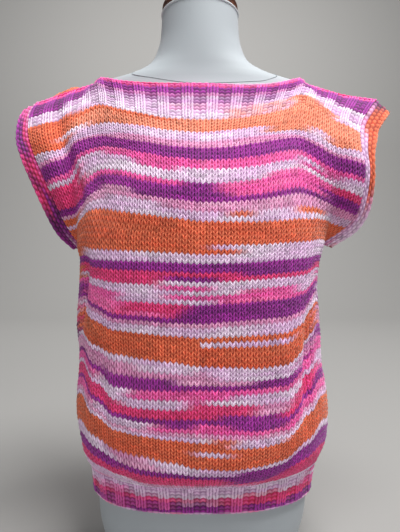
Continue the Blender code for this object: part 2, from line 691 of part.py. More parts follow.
def build_form(paints, collection):
    """The smooth torso with its neck, lofted through the table's ovals."""
    heights = column(FORM, FORM_COLUMNS, "z")
    values = [column(FORM, FORM_COLUMNS, name) for name in FORM_COLUMNS[1:]]
    vertices = []
    for index, height in enumerate(heights):
        vertices += oval_ring(height, *(value[index] for value in values), FORM_SIDES)
    faces = [tuple(range(FORM_SIDES))[::-1]]
    for level in range(len(heights) - 1):
        for place in range(FORM_SIDES):
            a = level * FORM_SIDES + place
            b = level * FORM_SIDES + (place + 1) % FORM_SIDES
            faces.append((a, b, b + FORM_SIDES, a + FORM_SIDES))
    last = (len(heights) - 1) * FORM_SIDES
    faces.append(tuple(range(last, last + FORM_SIDES)))
    add_object("dress_form", vertices, faces, paints["form_cloth"], collection)


def build_cap(paints, collection):
    """The wooden cap: a turned profile with a rounded rim, squeezed to the neck's oval."""
    top = FORM[-1]
    values = dict(zip(FORM_COLUMNS, top))
    radius = values["half_width"] * MM
    base = values["z"] * MM + SEAM_GAP
    profile = [(0.0, CAP_HEIGHT + CAP_CROWN)]
    profile += [(radius * 0.5, CAP_HEIGHT + CAP_CROWN * 0.75)]
    for step in range(CAP_STEPS + 1):
        angle = math.pi / 2 * (1 - step / CAP_STEPS)
        profile.append((radius - CAP_ROUND + CAP_ROUND * math.cos(angle),
                        CAP_HEIGHT - CAP_ROUND + CAP_ROUND * math.sin(angle)))
    profile += [(radius, 0.0), (0.0, 0.0)]
    mesh = bpy.data.meshes.new("neck_cap")
    mesh.from_pydata([(x, 0.0, z) for x, z in profile], [(i, i + 1) for i in range(len(profile) - 1)], [])
    mesh.materials.append(paints["cap_wood"])
    mesh.shade_smooth()
    cap = bpy.data.objects.new("neck_cap", mesh)
    collection.objects.link(cap)
    turned = cap.modifiers.new("turned", "SCREW")
    turned.steps = CAP_SIDES
    turned.render_steps = CAP_SIDES
    turned.use_merge_vertices = True
    turned.merge_threshold = 1e-5
    turned.use_smooth_shade = True
    depth = (values["front"] + values["back"]) / 2 * MM
    cap.location = (values["shift"] * MM, (values["back"] - values["front"]) / 2 * MM, base)
    cap.scale = (1.0, depth / radius, 1.0)


def main():
    for old in list(bpy.data.objects):
        bpy.data.objects.remove(old, do_unlink=True)
    collection = bpy.data.collections.new(COLLECTION)
    bpy.context.scene.collection.children.link(collection)
    paints = {name: make_material(name) for name in MATERIALS}
    points, through, bands = garment()
    build_panels(points, through, paints, collection)
    build_ribs(points, through, paints, collection)
    build_bands(bands, paints, collection)
    build_form(paints, collection)
    build_cap(paints, collection)


main()
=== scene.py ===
import math

import bpy
import mathutils
import numpy as np
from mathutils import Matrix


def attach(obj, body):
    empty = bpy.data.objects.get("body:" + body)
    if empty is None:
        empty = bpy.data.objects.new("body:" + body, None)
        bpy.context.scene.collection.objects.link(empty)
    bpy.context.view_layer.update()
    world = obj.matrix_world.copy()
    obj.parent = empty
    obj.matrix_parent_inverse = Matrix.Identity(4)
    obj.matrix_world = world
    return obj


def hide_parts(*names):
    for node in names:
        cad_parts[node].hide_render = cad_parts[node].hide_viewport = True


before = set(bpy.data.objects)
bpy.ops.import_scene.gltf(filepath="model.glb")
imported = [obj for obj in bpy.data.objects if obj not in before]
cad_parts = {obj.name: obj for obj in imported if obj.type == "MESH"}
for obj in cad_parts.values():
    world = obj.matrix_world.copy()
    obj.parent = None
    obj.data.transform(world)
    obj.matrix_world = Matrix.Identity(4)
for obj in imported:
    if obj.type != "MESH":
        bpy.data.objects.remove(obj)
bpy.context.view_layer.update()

MM = 0.001
FACES = ("front", "back")

# The camera of the photo: level, straight in front.
CAMERA_PLACE = (0.0, -0.631, 0.405)
FOCAL_LENGTH = 38.7
SENSOR_WIDTH = 36.0
CAMERA_NEAR = 0.01

# The surface: stitches from the centre to the edge, rows of the tables from the top, and the wall.
HALF_STITCHES = 34
ROWS = 120
RIB_ROWS = 12
HEM_ROW = 112
ARMHOLE_ROW = 46
NECK_STITCH = 19.5
STITCH_WIDTH = 7.2 * MM
ROW_HEIGHT = 4.9 * MM
WALL = 3.6 * MM
SEAM_GAP = 0.3 * MM
CLOTH_CLEARANCE = 2.8 * MM
LARGEST_PUSH = 12 * MM
SLOPE_STEP = 0.2 * MM
MITRE_LIMIT = 3.0
PASSES = 4
SETTLINGS = 2

# How finely the surface is worked out, how its rows are evened, and how softly.
COLUMNS_PER_STITCH = 2
LINE_STEPS = 23
SLEEVE_STEPS = 9
SIDE_PULL = 1.15
EVEN_ROW = 20
FIRM_ROWS = 8
LIGHT_SOFTENING = (1, 2, 1)
STITCH_SOFTENING = (1, 2, 3, 2, 1)
ROW_SOFTENING = (1, 2, 3, 4, 3, 2, 1)
HEIGHT_SOFTENING = (1, 2, 3, 4, 5, 6, 7, 8, 9, 8, 7, 6, 5, 4, 3, 2, 1)

# The knitting in relief: points to a stitch, courses, how far a stitch's legs climb, and the yarn's height.
ACROSS = 6
DOWN = 4
NECK_COURSES = 11
PANEL_COURSES = 88
HEM_COURSES = 7
HEM_RIB_STITCHES = 52
RIB_PERIOD = 4
LEG_CLIMB = 0.62
LEG_LEAN = 0.11
ON_THE_LINE = 0.01
RIB_CLIMB = 0.5
PURL_CLIMB = -0.4
YARN_RELIEF = 1.9 * MM
YARN_SINK = 0.45
RIB_DEPTH = 1.1 * MM
RIB_MIDDLE = 0.35
RIB_RELIEF_SHARE = 0.85
# How much darker the purled columns of the ribs are made: painted shade in their recesses.
PURL_PAINTED_SHADE = 0.35

# Courses over which the ribbing's stitches, and its depth, start, and over which a straight end closes.
RIB_START = 1.6
RIB_DEPTH_START = 1.5
CLOSING_COURSES = 0.4

# Height across half a stitch, from its middle to where it meets the next, and down a course. The yarn
# material also paints shade where these heights are low.
LEG_PROFILE = (0.0, 1.0, 0.95, 0.05)
LEG_COURSE = (0.42, 0.82, 1.0, 0.86, 0.42)
RIB_PROFILE = (0.0, 1.0, 0.96, 0.0)
RIB_COURSE = (0.62, 0.88, 1.0, 0.88, 0.62)
PURL_PROFILE = (1.0, 0.96, 0.8, 0.4)
PURL_COURSE = (0.2, 0.62, 1.0, 0.62, 0.2)

# Unevenness: of a stitch's place and thickness, of the cloth (each wave's turns down and across the face,
# its start, which way the back's differs, and its share, and how fast all fade at the edges), and of the dye.
SEED = 7
DICE_SIZE = 160
EVEN_YARN = 0.06
EVEN_SWELL = 0.1
UNEVENNESS = 0.45 * MM
WAVES = ((31, 5, 0.0, 1, 1.0), (17, -11, 2.1, 1, 1.0), (9, 19, 0.7, -1, 0.8))
BACK_TURN = 1.9
FADE_ACROSS = 6
FADE_DOWN = 12
YARN_SHADE = 0.09
YARN_SHADE_LIMITS = (0.75, 1.25)
SLOW_WANDER = 0.35
USUAL_WANDER = 0.4
QUICK_WANDER = 0.14
WANDER_STITCHES = 12
FADE = (1, 3, 5, 3, 1)

# How far a streak's ends step to and fro from one course to the next, in stitches, and how quickly.
STREAK_JOG = 1.3
JOG_PACE = 12.9

# The inside: its depth in the wall, and the ridges of its material.
INSIDE_DEPTH = 3.2 * MM
INSIDE_RIDGES = 0.6

# Rolled edges: radius, its least share and how much more it swells at each stitch, lean, the painted shade
# of the yarn between the stitches and how much lighter it is on them, points to a stitch and sides round,
# how deep in the wall they lie, and the yarns along them in turn.
LIP_RADIUS = 2.1 * MM
LIP_SWELL = (0.72, 0.32)
LIP_LEAN = 0.18
LIP_PAINTED_SHADE = (0.4, 0.6)
LIP_STEPS = 6
LIP_SIDES = 8
LIP_DEPTH = 0.45 * WALL
HEM_LIP_DEPTH = 0.4 * WALL
SHOULDER_LIP = 0.9 * LIP_RADIUS
HEM_LIP_RADIUS = 0.85 * LIP_RADIUS
NECK_YARNS = {"front": ("pink", "rose", "pink", "mauve", "pink"), "back": ("orange", "rose", "mauve")}
SHOULDER_YARNS = ("pink", "rose", "pink")
HEM_YARNS = ("lilac", "purple", "mauve", "lilac", "rose", "lilac", "purple") * 4

# The bands: stitches round, points to a stitch, courses, relief and how far it is sunk, a bead's middle and
# depth, and for each course its colours' layer and how far they have moved on round the band.
BAND_STITCHES = 56
BAND_ACROSS = 5
BAND_COURSES = 4
BAND_RELIEF = 2.0 * MM
BAND_SINK = 0.35
BEADS = (0.62, 0.38)
BAND_LAYERS = ((0, 0.0), (1, 0.0), (2, 0.0), (2, 0.015))

# The form: rings, points round, its cords (heights round from +X by way of the back, radius and material),
# and the cap: height, sides, the share of the height where its edge starts to round, how far the rounding
# goes inwards and upwards, and the crown's points (share of the width, share of the height).
FORM_LEVELS = 130
FORM_SIDES = 128
UNDERSIDE_CENTRE = (0.02, 0.02, 1.0)
CORD_SIDES = 240
CORD_ROUNDNESS = 2
FORM_CORDS = (
    ("neck_seam", (0.6815, 0.692, 0.700, 0.703, 0.700, 0.693, 0.686, 0.679, 0.6635, 0.651, 0.657, 0.6755,
                   0.6815), 0.0005, "seam"),
    ("neck_cord", (0.77, 0.77), 0.0016, "cord"),
)
CAP_HEIGHT = 19 * MM
CAP_SIDES = 96
CAP_STEPS = 6
CAP_EDGE = 0.4
CAP_ROUND = (0.12, 0.36)
CAP_CROWN = ((0.5, 0.94), (0.25, 0.985), (0.0, 1.0))

# The studio: the sweep, and each light's place, aim, size and power.
SWEEP_BACK = 4.4
SWEEP_ROUND = 1.8
SWEEP_REACH = 8.0
SWEEP_STEPS = 12
SWEEP_COLOUR = "A09F9D"
LIGHTS = (
    ("key", (0.5, -0.65, 2.3), (0.0, 0.0, 0.5), (1.2, 1.0), 66.0),
    ("side", (1.9, -0.4, 1.2), (0.0, 0.0, 0.5), (1.2, 1.6), 3.5),
    ("fill", (-0.2, -2.2, 0.5), (0.0, 0.0, 0.15), (1.8, 0.8), 9.5),
    ("back", (0.0, 1.4, 3.4), (0.0, 4.4, 1.6), (4.0, 1.0), 140.0),
)
LIGHT_COLOUR = (1.0, 0.99, 0.98)
ROOM_COLOUR = (0.95, 0.97, 1.0)
ROOM_STRENGTH = 0.22

# Centre of the front and of the back.
CENTRE_COLUMNS = ("row", "front_y", "front_z", "back_y", "back_z")
CENTRE = (
    (0, -60, 647, 66, 664), (11, -82, 594.5, 89, 617), (23, -109, 545.5, 106, 565),
    (33, -121.5, 495, 112, 516), (46, -127, 430, 115, 452), (62, -125, 353, 114, 371),
    (80, -122, 264, 113, 283), (96, -121, 184, 113, 205), (104, -117, 149, 113, 168),
    (109, -103, 134, 110, 143), (112, -92.5, 125, 106.5, 128), (120, -86, 91, 106, 91),
)

# The column that hangs from the neck end of each shoulder seam. turn_in and turn_out are the row's
# direction in plan, in degrees, on the neck's side and on the shoulder's side of that column, and rise is
# the power with which the row climbs to it from the centre.
CROWN_COLUMNS = ("row", "x", "front_y", "front_z", "back_y", "back_z", "turn_in", "turn_out", "rise")
CROWN = (
    (0, 144.5, -4, 673, -4, 673, 62, -3, 2.6), (4, 144, -20, 658.5, 15, 661, 50, 12, 2.4),
    (11, 141, -46, 630, 46, 635, 36, 25, 2.2), (17, 135, -60, 594, 64, 604, 31, 29, 2),
    (23, 132, -69, 566, 76, 580, 30, 30, 2), (33, 131, -80, 513, 84, 530, 30, 30, 2),
    (46, 131, -90, 434, 86, 449, 32, 32, 2), (62, 130, -91, 355, 85, 371, 33, 33, 2),
    (80, 130, -90, 262, 85, 284, 33, 33, 2), (96, 131, -89, 186, 85, 205, 32, 32, 2),
    (104, 131, -85, 155, 85, 167, 32, 32, 2), (109, 127, -74, 139, 81, 143, 32, 32, 2),
    (112, 122, -65, 128, 76, 127, 33, 33, 2), (120, 117, -62, 90.5, 76, 90.5, 34, 34, 2),
)

# The fold at the armhole of each side. turn is how far, in degrees, the row has swung round from facing the
# front. Below the armhole the side seam (row, x and z) goes on from it, with the other columns as given.
SIDE_COLUMNS = ("row", "x", "z", "front_y", "back_y", "turn")
SIDE_FOLDS = {
    -1: (
        (0, 214, 646, -8, -8, 8), (4, 205, 634, -22, 16, 20), (10, 195, 607, -36, 35, 35),
        (18, 185, 574, -47, 46, 48), (23, 178, 548, -51, 50, 55), (33, 171, 487, -44, 46, 66),
        (40, 171.5, 456, -27, 28, 80),
    ),
    1: (
        (0, 214, 653, -3, -3, 8), (4, 200, 641, -20, 18, 20), (10, 185, 612, -38, 37, 35),
        (18, 179, 571, -56, 48, 48), (23, 181, 542, -60, 52, 55), (33, 181, 492, -50, 46, 66),
        (40, 179.5, 463, -28, 28, 80),
    ),
}
SIDE_SEAMS = {
    -1: (
        (46, 174.5, 433), (50, 168.5, 417), (60, 171, 374), (69, 173.5, 331), (76, 167.5, 299),
        (82, 169.5, 273), (88, 174, 245), (94, 175, 215), (101, 168, 180), (108, 161, 146),
        (114, 154.5, 116), (120, 153, 91),
    ),
    1: (
        (46, 177, 437), (52, 167, 412), (59, 161.5, 385), (66, 164, 358), (74, 167.5, 324), (83, 171, 282),
        (89, 178.5, 250), (96, 183, 212), (102, 181.5, 178), (107, 173, 151), (112, 165.5, 126),
        (120, 160, 92),
    ),
}
SEAM_COLUMNS = (0, 0, 90)

# The open edge of each armhole, how far the cloth swells out between the fold and that edge, and how far
# the band picked up along it reaches outwards, downwards and back towards the middle of the opening.
EDGE_COLUMNS = ("row", "x", "z", "front_y", "back_y", "swell", "band_out", "band_down", "band_in")
EDGES = {
    -1: (
        (0, 238, 639.5, -8, -8, 0, 16, 7, 0), (4, 241, 623, -21, 10, 3, 16.5, 7, 2),
        (10, 238.5, 594, -36, 28, 6, 17, 7, 3), (18, 225.5, 557.5, -49, 42, 9, 17, 6.5, 3),
        (23, 214, 531, -52, 46, 9, 16, 7.5, 3), (33, 194.5, 483, -44, 42, 6, 15, 9, 3),
        (40, 185.5, 457, -27, 28, 3, 14, 8, 2), (46, 174.5, 433, 0, 0, 0, 10, 4, 0),
    ),
    1: (
        (0, 257, 647, -3, -3, 0, 20, 17, 0), (4, 243, 631, -18, 15, 2, 22, 14, 1),
        (10, 222, 597, -36, 34, 4, 24, 8, 2), (18, 217, 561.5, -55, 46, 5, 18, 4, 3),
        (23, 220.5, 536, -60, 50, 6, 14, 3, 5), (33, 216, 484, -50, 45, 6, 15, 3, 5),
        (40, 206, 461, -30, 30, 3, 15, 6, 4), (46, 177, 437, 0, 0, 0, 14, 5, 0),
    ),
}

# The largest folds: a soft trough (height below zero) or ridge from one row and stitch to another, its half
# width and its height. Then the smaller creases, in the same columns.
FOLDS = {
    "front": (
        (48, -22.5, 72, -25, 7, -8.5), (68, -19.5, 96, -17, 9, -4), (70, -26.5, 94, -26, 14, 3),
        (58, 21.5, 96, 19.5, 7.5, -9), (64, 26.5, 96, 25.5, 13, 3),
    ),
    "back": (
        (44, -27, 92, -25, 10, -7), (48, 27, 96, 25, 10, -7), (22, -14, 58, -18, 16, -4),
        (20, 15, 54, 19, 16, -4),
    ),
}
FOLD_END = 0.6
CREASES = {
    "front": (
        (14, -27.5, 44, -25, 7, -3.2), (12, -31, 30, -30, 6, 1.6), (24, -24, 50, -16, 9, -1.6),
        (14, 26.5, 46, 24, 7, -2.8), (26, 24, 52, 17, 9, -1.6), (62, -12, 100, -15, 12, -1.3),
        (70, 12, 104, 14, 12, -1.4), (84, -4, 110, -3, 13, -1.2), (88, 5, 111, 7, 9, 1.1),
        (92, -20, 111, -12, 9, -1.8), (94, 20, 111, 13, 9, -1.8), (40, -2, 70, 2, 16, 1),
        (20, 0.5, 108, 0.3, 4, -1.2),
    ),
    "back": (
        (14, -28, 42, -25.5, 7, -3), (14, 28, 44, 26, 7, -3), (26, -22, 54, -14, 9, -1.6),
        (24, 22, 50, 13, 9, -1.6), (66, -10, 104, -13, 12, -1.4), (62, 9, 100, 12, 12, -1.3),
        (86, 1, 110, -1, 13, 1.2), (92, 21, 111, 14, 9, -1.8), (94, -20, 111, -14, 9, -1.8),
    ),
}

# Where the cloth is raised or lowered: the row and stitch, the rows and stitches round them, and the height.
# Behind the left shoulder's seam it stands up, the back's neck edge is a little higher at its corners, and
# the front's droops on the right.
LIFTS = {
    "front": ((0, 12, 9, 14, -3.5),),
    "back": ((3.4, -27.5, 4.6, 8.5, 28), (0, -16.5, 4, 5, 5), (0, 16.5, 4, 5, 5)),
}

# How far below its row a course lies on the front, in rows, at the stitches named on the first line. The
# back's courses sway in waves (turns by row and by stitch, and share), which fade out over some rows.
DRIFT_STITCHES = (-34, -29, -24, -20, -15, -10, -5, 0, 5, 10, 15, 20, 24, 29, 34)
LEVEL = (0,) * len(DRIFT_STITCHES)
DRIFT = (
    (0, LEVEL), (5, LEVEL),
    (12, (0, 0.6, -0.4, -0.9, -0.8, -0.8, -0.4, 0, -0.1, -0.3, -0.5, -0.6, -0.6, -0.4, 0)),
    (17.2, (0, 1.6, 0.3, -0.1, -0.8, -1.1, -0.6, 0, -0.7, -0.9, -0.4, 0, 0, 1, 0)),
    (22.5, (0, 0.2, -2.2, -2.1, -1.7, -1.4, -0.5, 0, -0.2, -0.8, -1.4, -1.6, -1, -0.5, 0)),
    (28, (0, 0.2, -2.4, -2.4, -2.6, -1.6, -0.7, 0, 0, -0.1, -0.8, -1, -0.6, -0.4, 0)),
    (33.5, (0, 0, -0.8, -1.6, -1.7, -1, -0.5, 0, 0, -0.3, -0.8, -1.2, -1.2, -1.4, 0)),
    (40.3, (0, -1.4, -2.2, -2, -1.6, -1.3, -0.7, 0, 0.2, 0.4, 0.4, 0.2, -0.4, -1, 0)),
    (50.8, (0, -1, -1.6, -0.6, -0.5, -0.5, -0.3, 0, -0.1, -0.3, -0.8, -1, -1.6, -1.2, 0)),
    (57, (0, -1.5, -3, -1.4, -0.6, -0.5, -0.3, 0, -0.2, -0.5, -0.8, -1.2, -3, -2, 0)),
    (65.6, (0, -3, -5, -2.8, -0.7, -0.6, -0.2, 0, -0.5, -0.9, -1.1, -2.2, -6, -3.4, 0)),
    (75.7, (0, -3.4, -6.2, -3.8, -2.3, -1.6, -1, 0, 0.3, 0.7, 0.3, -3, -7, -4.4, 0)),
    (81.3, (0, -3.6, -6.8, -3.4, 0.1, 0.3, 0.2, 0, 0.2, 0, -0.3, -4, -7, -4.4, 0)),
    (89.4, (0, -3.8, -7.4, -3.6, -0.6, 0, 0.3, 0, 0.4, 1.2, 0.9, -3, -5.4, -3.4, 0)),
    (100.3, (0, -3.6, -7.2, -5.4, -3.2, -2.7, -1.4, 0, 0.6, 0.4, 0.1, -3.6, -6.2, -3.4, 0)),
    (104, (0, -2.4, -5, -3.6, -1.2, -0.3, -0.2, 0, 0.2, 0, 0.3, -2.6, -4, -2, 0)), (112, LEVEL),
    (120, LEVEL),
)
BACK_SWAYS = ((0.11, 0.09, 1.0), (0.05, -0.17, 0.6))
SWAY_ROWS = 8

# The dress form: height above its underside, half width, depth to the front and to the back, shift to
# +X, and the power of its rounded outline (2 is an ellipse).
FORM_COLUMNS = ("z", "half_width", "front", "back", "shift", "power")
FORM = (
    (0, 128, 64, 86, 2, 2.2), (6, 133, 68, 90, 2, 2.2), (22, 139, 72, 95, 2, 2.2),
    (60, 148, 77, 100, 3, 2.2), (95, 150, 79.5, 101, 3.5, 2.2), (130, 148, 82, 100, 3.5, 2.2),
    (205, 136, 84, 91, 2, 2.2), (285, 123, 86, 80, 0, 2.2), (355, 134, 98, 84, 0, 2.2),
    (405, 148, 112, 94, 0, 2.2), (450, 154, 119.5, 101, 0, 2.2), (495, 159, 114, 103, 0, 2.2),
    (550, 166, 98, 99, 0, 2.1), (600, 173, 74, 88, 0, 2), (630, 175, 61, 76, 0, 2),
    (645, 172, 55, 68, 0, 1.9), (656, 162, 52, 63, 0, 1.9), (663.5, 151, 51, 60, 0, 1.9),
    (669.5, 143, 50.5, 59, 0, 1.9), (677, 114, 50, 58, 0.5, 1.9), (686, 89, 50, 57, 1, 2),
    (695, 74.5, 50, 56, 0.5, 2), (709, 65, 50, 55.5, 0, 2), (735, 57.5, 50, 55, 0, 2),
    (772, 55, 50, 55, 0, 2),
)
NOT_LENGTHS = ("row", "turn", "turn_in", "turn_out", "rise", "power")

# The yarns: their colour in even light, a second strength of the same dye, and how far they wander to it.
YARN = {
    "orange": ("E8754E", "DE5534", 0.45),
    "peach": ("F29A7C", "E8805C", 0.5),
    "lilac": ("E8C2E6", "F6EAF6", 0.7),
    "mauve": ("E598C6", "F4C0DC", 0.6),
    "purple": ("A82AA0", "7E1C80", 0.6),
    "plum": ("6E1C68", "8C2484", 0.5),
    "pink": ("F55FB2", "FF8EC2", 0.5),
    "rose": ("EC4388", "F03C80", 0.5),
}
YARN_NAMES = list(YARN)

# The stripes down the middle of each face: the row where a colour starts.
STRIPES = {
    "front": (
        (0, "pink"), (1.3, "purple"), (4.6, "lilac"), (11.6, "peach"), (17.1, "lilac"), (19.8, "mauve"),
        (22.5, "purple"), (25.9, "pink"), (28, "lilac"), (31.2, "pink"), (32.2, "purple"), (36, "mauve"),
        (38, "lilac"), (40.3, "orange"), (48.2, "lilac"), (50.2, "mauve"), (51.2, "purple"), (53.4, "rose"),
        (55.4, "lilac"), (56.4, "pink"), (57.8, "lilac"), (58.9, "pink"), (60.2, "lilac"), (61.4, "purple"),
        (65.6, "mauve"), (67, "lilac"), (68.6, "orange"), (75.7, "lilac"), (77.2, "mauve"), (80, "purple"),
        (81.4, "pink"), (84, "lilac"), (85.2, "rose"), (88, "purple"), (89.5, "pink"), (91.4, "mauve"),
        (92.5, "lilac"), (93.7, "orange"), (100.3, "lilac"), (102.6, "purple"), (104.6, "rose"),
        (109, "mauve"), (110.6, "lilac"), (115.6, "rose"), (117.6, "purple"),
    ),
    "back": (
        (0, "orange"), (8.8, "lilac"), (11.6, "mauve"), (13, "purple"), (16.2, "pink"),
        (19, "lilac"), (22.4, "rose"), (23.6, "purple"), (27, "mauve"), (29.2, "lilac"), (31, "orange"),
        (38.4, "lilac"), (40.9, "mauve"), (42, "purple"), (45.4, "pink"), (47.8, "lilac"), (50.4, "rose"),
        (52.7, "purple"), (55, "mauve"), (57.2, "lilac"), (59.4, "orange"), (66.4, "lilac"), (68.8, "mauve"),
        (69.9, "purple"), (73.2, "pink"), (76, "lilac"), (77.2, "pink"), (79.6, "purple"), (82, "mauve"),
        (84.3, "lilac"), (86.6, "orange"), (93.4, "lilac"), (95.7, "purple"), (98.9, "rose"),
        (101.2, "lilac"), (103.5, "orange"), (109, "lilac"), (111.2, "mauve"), (113.6, "rose"),
        (117, "purple"),
    ),
}

# Where the yarn changes colour in mid row: rows from and to, stitches from and to. A later colour lies over
# an earlier one.
STREAKS = {
    "front": {
        "peach": (
            (8.4, 12, 5, 7), (7.8, 12, 9, 11), (7.6, 12, 13, 15), (7.8, 12, 17, 25), (9.8, 12, 25, 28),
            (17.1, 18.4, 12, 22), (17.1, 18.4, 26, 34),
        ),
        "rose": (
            (27.9, 33.2, -34, -25), (29.9, 32.2, 27, 34), (55.4, 56.4, -34, -7), (61, 63.8, -14, -3),
            (109, 110.8, 10, 34), (66, 68.4, -34, -26), (69.6, 71.9, -34, -26),
        ),
        "orange": (
            (12, 13.2, -34, -4), (10, 19, -34, -26), (10.8, 12, -26, -23), (37, 39.3, -34, -28),
            (38.2, 39.3, 5, 9), (38.4, 39.4, 18, 26), (47.2, 48.2, 3, 6), (68.4, 69.4, 8, 14),
            (92.6, 93.7, 2, 6), (48.2, 50.2, -34, -23), (54.6, 58.8, -34, -25),
        ),
        "mauve": (
            (35, 36, -20, -13), (85.2, 87, 9, 16), (101, 102.6, -16, -8), (110.6, 112, -34, -18),
            (70.4, 75.2, 24, 34),
        ),
        "pink": (
            (25.9, 28.6, -12, -4), (29.8, 31.2, 11, 20), (26, 32.2, 20, 27), (32.2, 34.2, 4, 25),
            (57.6, 59.2, 6, 17), (58.6, 64, -34, -14), (60.2, 61.4, 4, 34), (63, 64.2, -12, -5),
            (84, 85.2, -1, 2), (112, 116.6, 25, 34), (79.4, 82, 23, 34), (85.4, 87.2, 23, 34),
        ),
        "lilac": (
            (15.1, 16.2, -27, -21), (19.8, 21.6, -34, -17), (19.8, 21.4, 16, 34), (26.8, 28, -34, -20),
            (27, 28, 28, 34), (29.3, 30.5, 21, 27), (27, 28.2, 18, 24), (36.8, 38, -20, -8),
            (46.2, 47.2, 3, 6), (46, 48.2, 6, 34), (56.4, 57.4, 3, 18), (56.4, 60.2, -14, -6),
            (56, 58.6, -25, -14), (55.8, 60, 18, 24), (60.2, 61, -10, -3), (69.4, 70.6, 1, 18),
            (77.2, 78.8, 2, 18), (77.2, 78, -10, 0), (81.8, 84, -20, -13), (83, 84, 5, 18),
            (85, 86.2, -15, -3), (89.8, 91.4, -20, -8), (93.6, 94.8, 6, 16), (95.9, 97, -1, 5),
            (108, 110.6, -34, -12), (113.1, 114.3, 26, 34), (68.4, 69.6, -34, -26), (60.6, 66, 25, 34),
            (82, 85.4, 23, 34),
        ),
        "purple": (
            (4.6, 5.5, 22, 34), (5.5, 6.6, 27, 34), (4.6, 6.6, -34, -27), (4.6, 5.5, -27, -23),
            (25, 25.9, -4, 3), (31.2, 32.2, -3, 3), (53.4, 54.4, 8, 24), (54.6, 55.4, -7, 2),
            (78.8, 80, 9, 18), (78.8, 80, -18, -4), (87, 88, 4, 15), (89.5, 90.6, -6, -1),
            (89.5, 90.8, 5, 15), (101.4, 107, 5, 15), (101.6, 105.4, 15, 34), (102.6, 105.2, -34, -14),
            (109.8, 114.3, -34, -32), (59.6, 65.4, -34, -24), (66.6, 70.4, 26, 34), (75.2, 79.4, 23, 34),
            (87.2, 89.8, 23, 34),
        ),
        "plum": ((71.9, 76.4, -34, -26),),
    },
    "back": {
        "rose": ((95.7, 96.8, -16, 3), (109, 110.1, -2, 13)),
        "orange": (
            (8.8, 10, -20, -4), (29.9, 31, -18, 2), (58.2, 59.4, 4, 22), (85.4, 86.6, -22, -6),
            (102.4, 103.5, -34, -10),
        ),
        "mauve": ((22.4, 23.6, -34, -8), (80.8, 82, -4, 12)),
        "pink": ((19, 20.4, 3, 22), (49.2, 50.4, -12, 9), (68.8, 69.9, 12, 34), (78.4, 79.6, -34, -12)),
        "lilac": (
            (4.4, 5.6, 9, 34), (5.5, 6.6, 2, 34), (6.5, 7.7, 6, 34), (7.6, 8.8, -3, 34),
            (14.8, 16.2, -30, -12), (36.6, 37.8, -9, 14), (45.4, 46.6, -26, -10), (61.8, 63, -20, 1),
            (73.2, 74.4, 0, 17), (90.4, 91.6, 5, 20), (98.9, 100, 13, 34),
        ),
        "purple": ((1.2, 3.6, 14, 34), (45.4, 46.6, 10, 34), (55, 56.1, -34, -16)),
    },
}

# The same on the purled (0) or the knitted (1) stitches of the front's ribs alone.
RIB_STREAKS = {
    0: {
        "rose": ((114.4, 115.6, 6, 20),),
        "mauve": ((6.6, 8.6, -6, 10), (114.4, 115.6, -30, -8)),
        "purple": ((4.6, 5.5, -22, -6), (4.6, 6.6, -6, 14), (116.6, 117.6, -22, 4)),
    },
    1: {
        "rose": ((115.6, 119, 14, 22),),
        "mauve": ((3.4, 4.6, -20, 20), (115.6, 118, -4, 4)),
        "pink": ((113.2, 120, -24, -14), (115.6, 118.4, -14, -6), (115.6, 120, 4, 12)),
    },
}

# Colours of the sleeve bands, from the shoulder down the front and up the back: the share of the way round
# where each starts, on the inner course, the next one and the outer two.
BAND_COLOURS = {
    "left": (
        ((0, "mauve"), (0.07, "pink"), (0.14, "rose"), (0.2, "pink"), (0.27, "rose"), (0.33, "plum"),
         (0.4, "purple"), (0.47, "mauve"), (0.52, "rose"), (0.66, "mauve"), (0.8, "pink")),
        ((0, "pink"), (0.09, "rose"), (0.15, "purple"), (0.2, "rose"), (0.29, "purple"), (0.45, "lilac"),
         (0.5, "purple"), (0.62, "rose"), (0.8, "mauve"), (0.93, "orange")),
        ((0, "pink"), (0.05, "purple"), (0.2, "rose"), (0.25, "plum"), (0.28, "rose"), (0.36, "plum"),
         (0.42, "purple"), (0.58, "rose"), (0.74, "orange"), (0.97, "pink")),
    ),
    "right": (
        ((0, "plum"), (0.04, "mauve"), (0.12, "lilac"), (0.36, "mauve"), (0.42, "lilac"), (0.55, "orange"),
         (0.8, "lilac"), (0.95, "mauve")),
        ((0, "plum"), (0.03, "orange"), (0.15, "lilac"), (0.46, "mauve"), (0.56, "orange"), (0.8, "lilac"),
         (0.95, "mauve")),
        ((0, "plum"), (0.02, "orange"), (0.34, "mauve"), (0.38, "lilac"), (0.52, "orange"), (0.7, "rose"),
         (0.9, "orange")),
    ),
}


def column(table, names, name):
    """One named column of a table, in metres where it is a length."""
    values = np.array([line[names.index(name)] for line in table], dtype=float)
    return values if name in NOT_LENGTHS else values * MM


def cubic(part, start, end, start_pull, end_pull):
    """A cubic that leaves start along start_pull and reaches end along end_pull, at a share of the way."""
    square = part * part
    cube = square * part
    return ((2 * cube - 3 * square + 1) * start + (cube - 2 * square + part) * start_pull
            + (3 * square - 2 * cube) * end + (cube - square) * end_pull)


def smooth(stations, values, where):
    """Cubic through the stations that doesn't overshoot between them."""
    stations = np.asarray(stations, dtype=float)
    values = np.asarray(values, dtype=float)
    step = np.diff(stations)
    slope = np.diff(values) / step
    same_way = slope[:-1] * slope[1:] > 0
    before = slope[:-1][same_way]
    after = slope[1:][same_way]
    tangent = np.concatenate((slope[:1], np.zeros(len(step) - 1), slope[-1:]))
    tangent[1:-1][same_way] = 2 * before * after / (before + after)
    where = np.clip(where, stations[0], stations[-1])
    index = np.clip(np.searchsorted(stations, where, side="right") - 1, 0, len(step) - 1)
    width = step[index]
    return cubic((where - stations[index]) / width, values[index], values[index + 1],
                 width * tangent[index], width * tangent[index + 1])


def read_table(table, names, where):
    """The table's columns, by name, read at one station or at an array of them."""
    stations = column(table, names, names[0])
    return {name: smooth(stations, column(table, names, name), where) for name in names[1:]}


def heading(turn, towards_back):
    """A direction in plan that has swung round by turn degrees from straight across."""
    return np.array([math.cos(math.radians(turn)), towards_back * math.sin(math.radians(turn))])


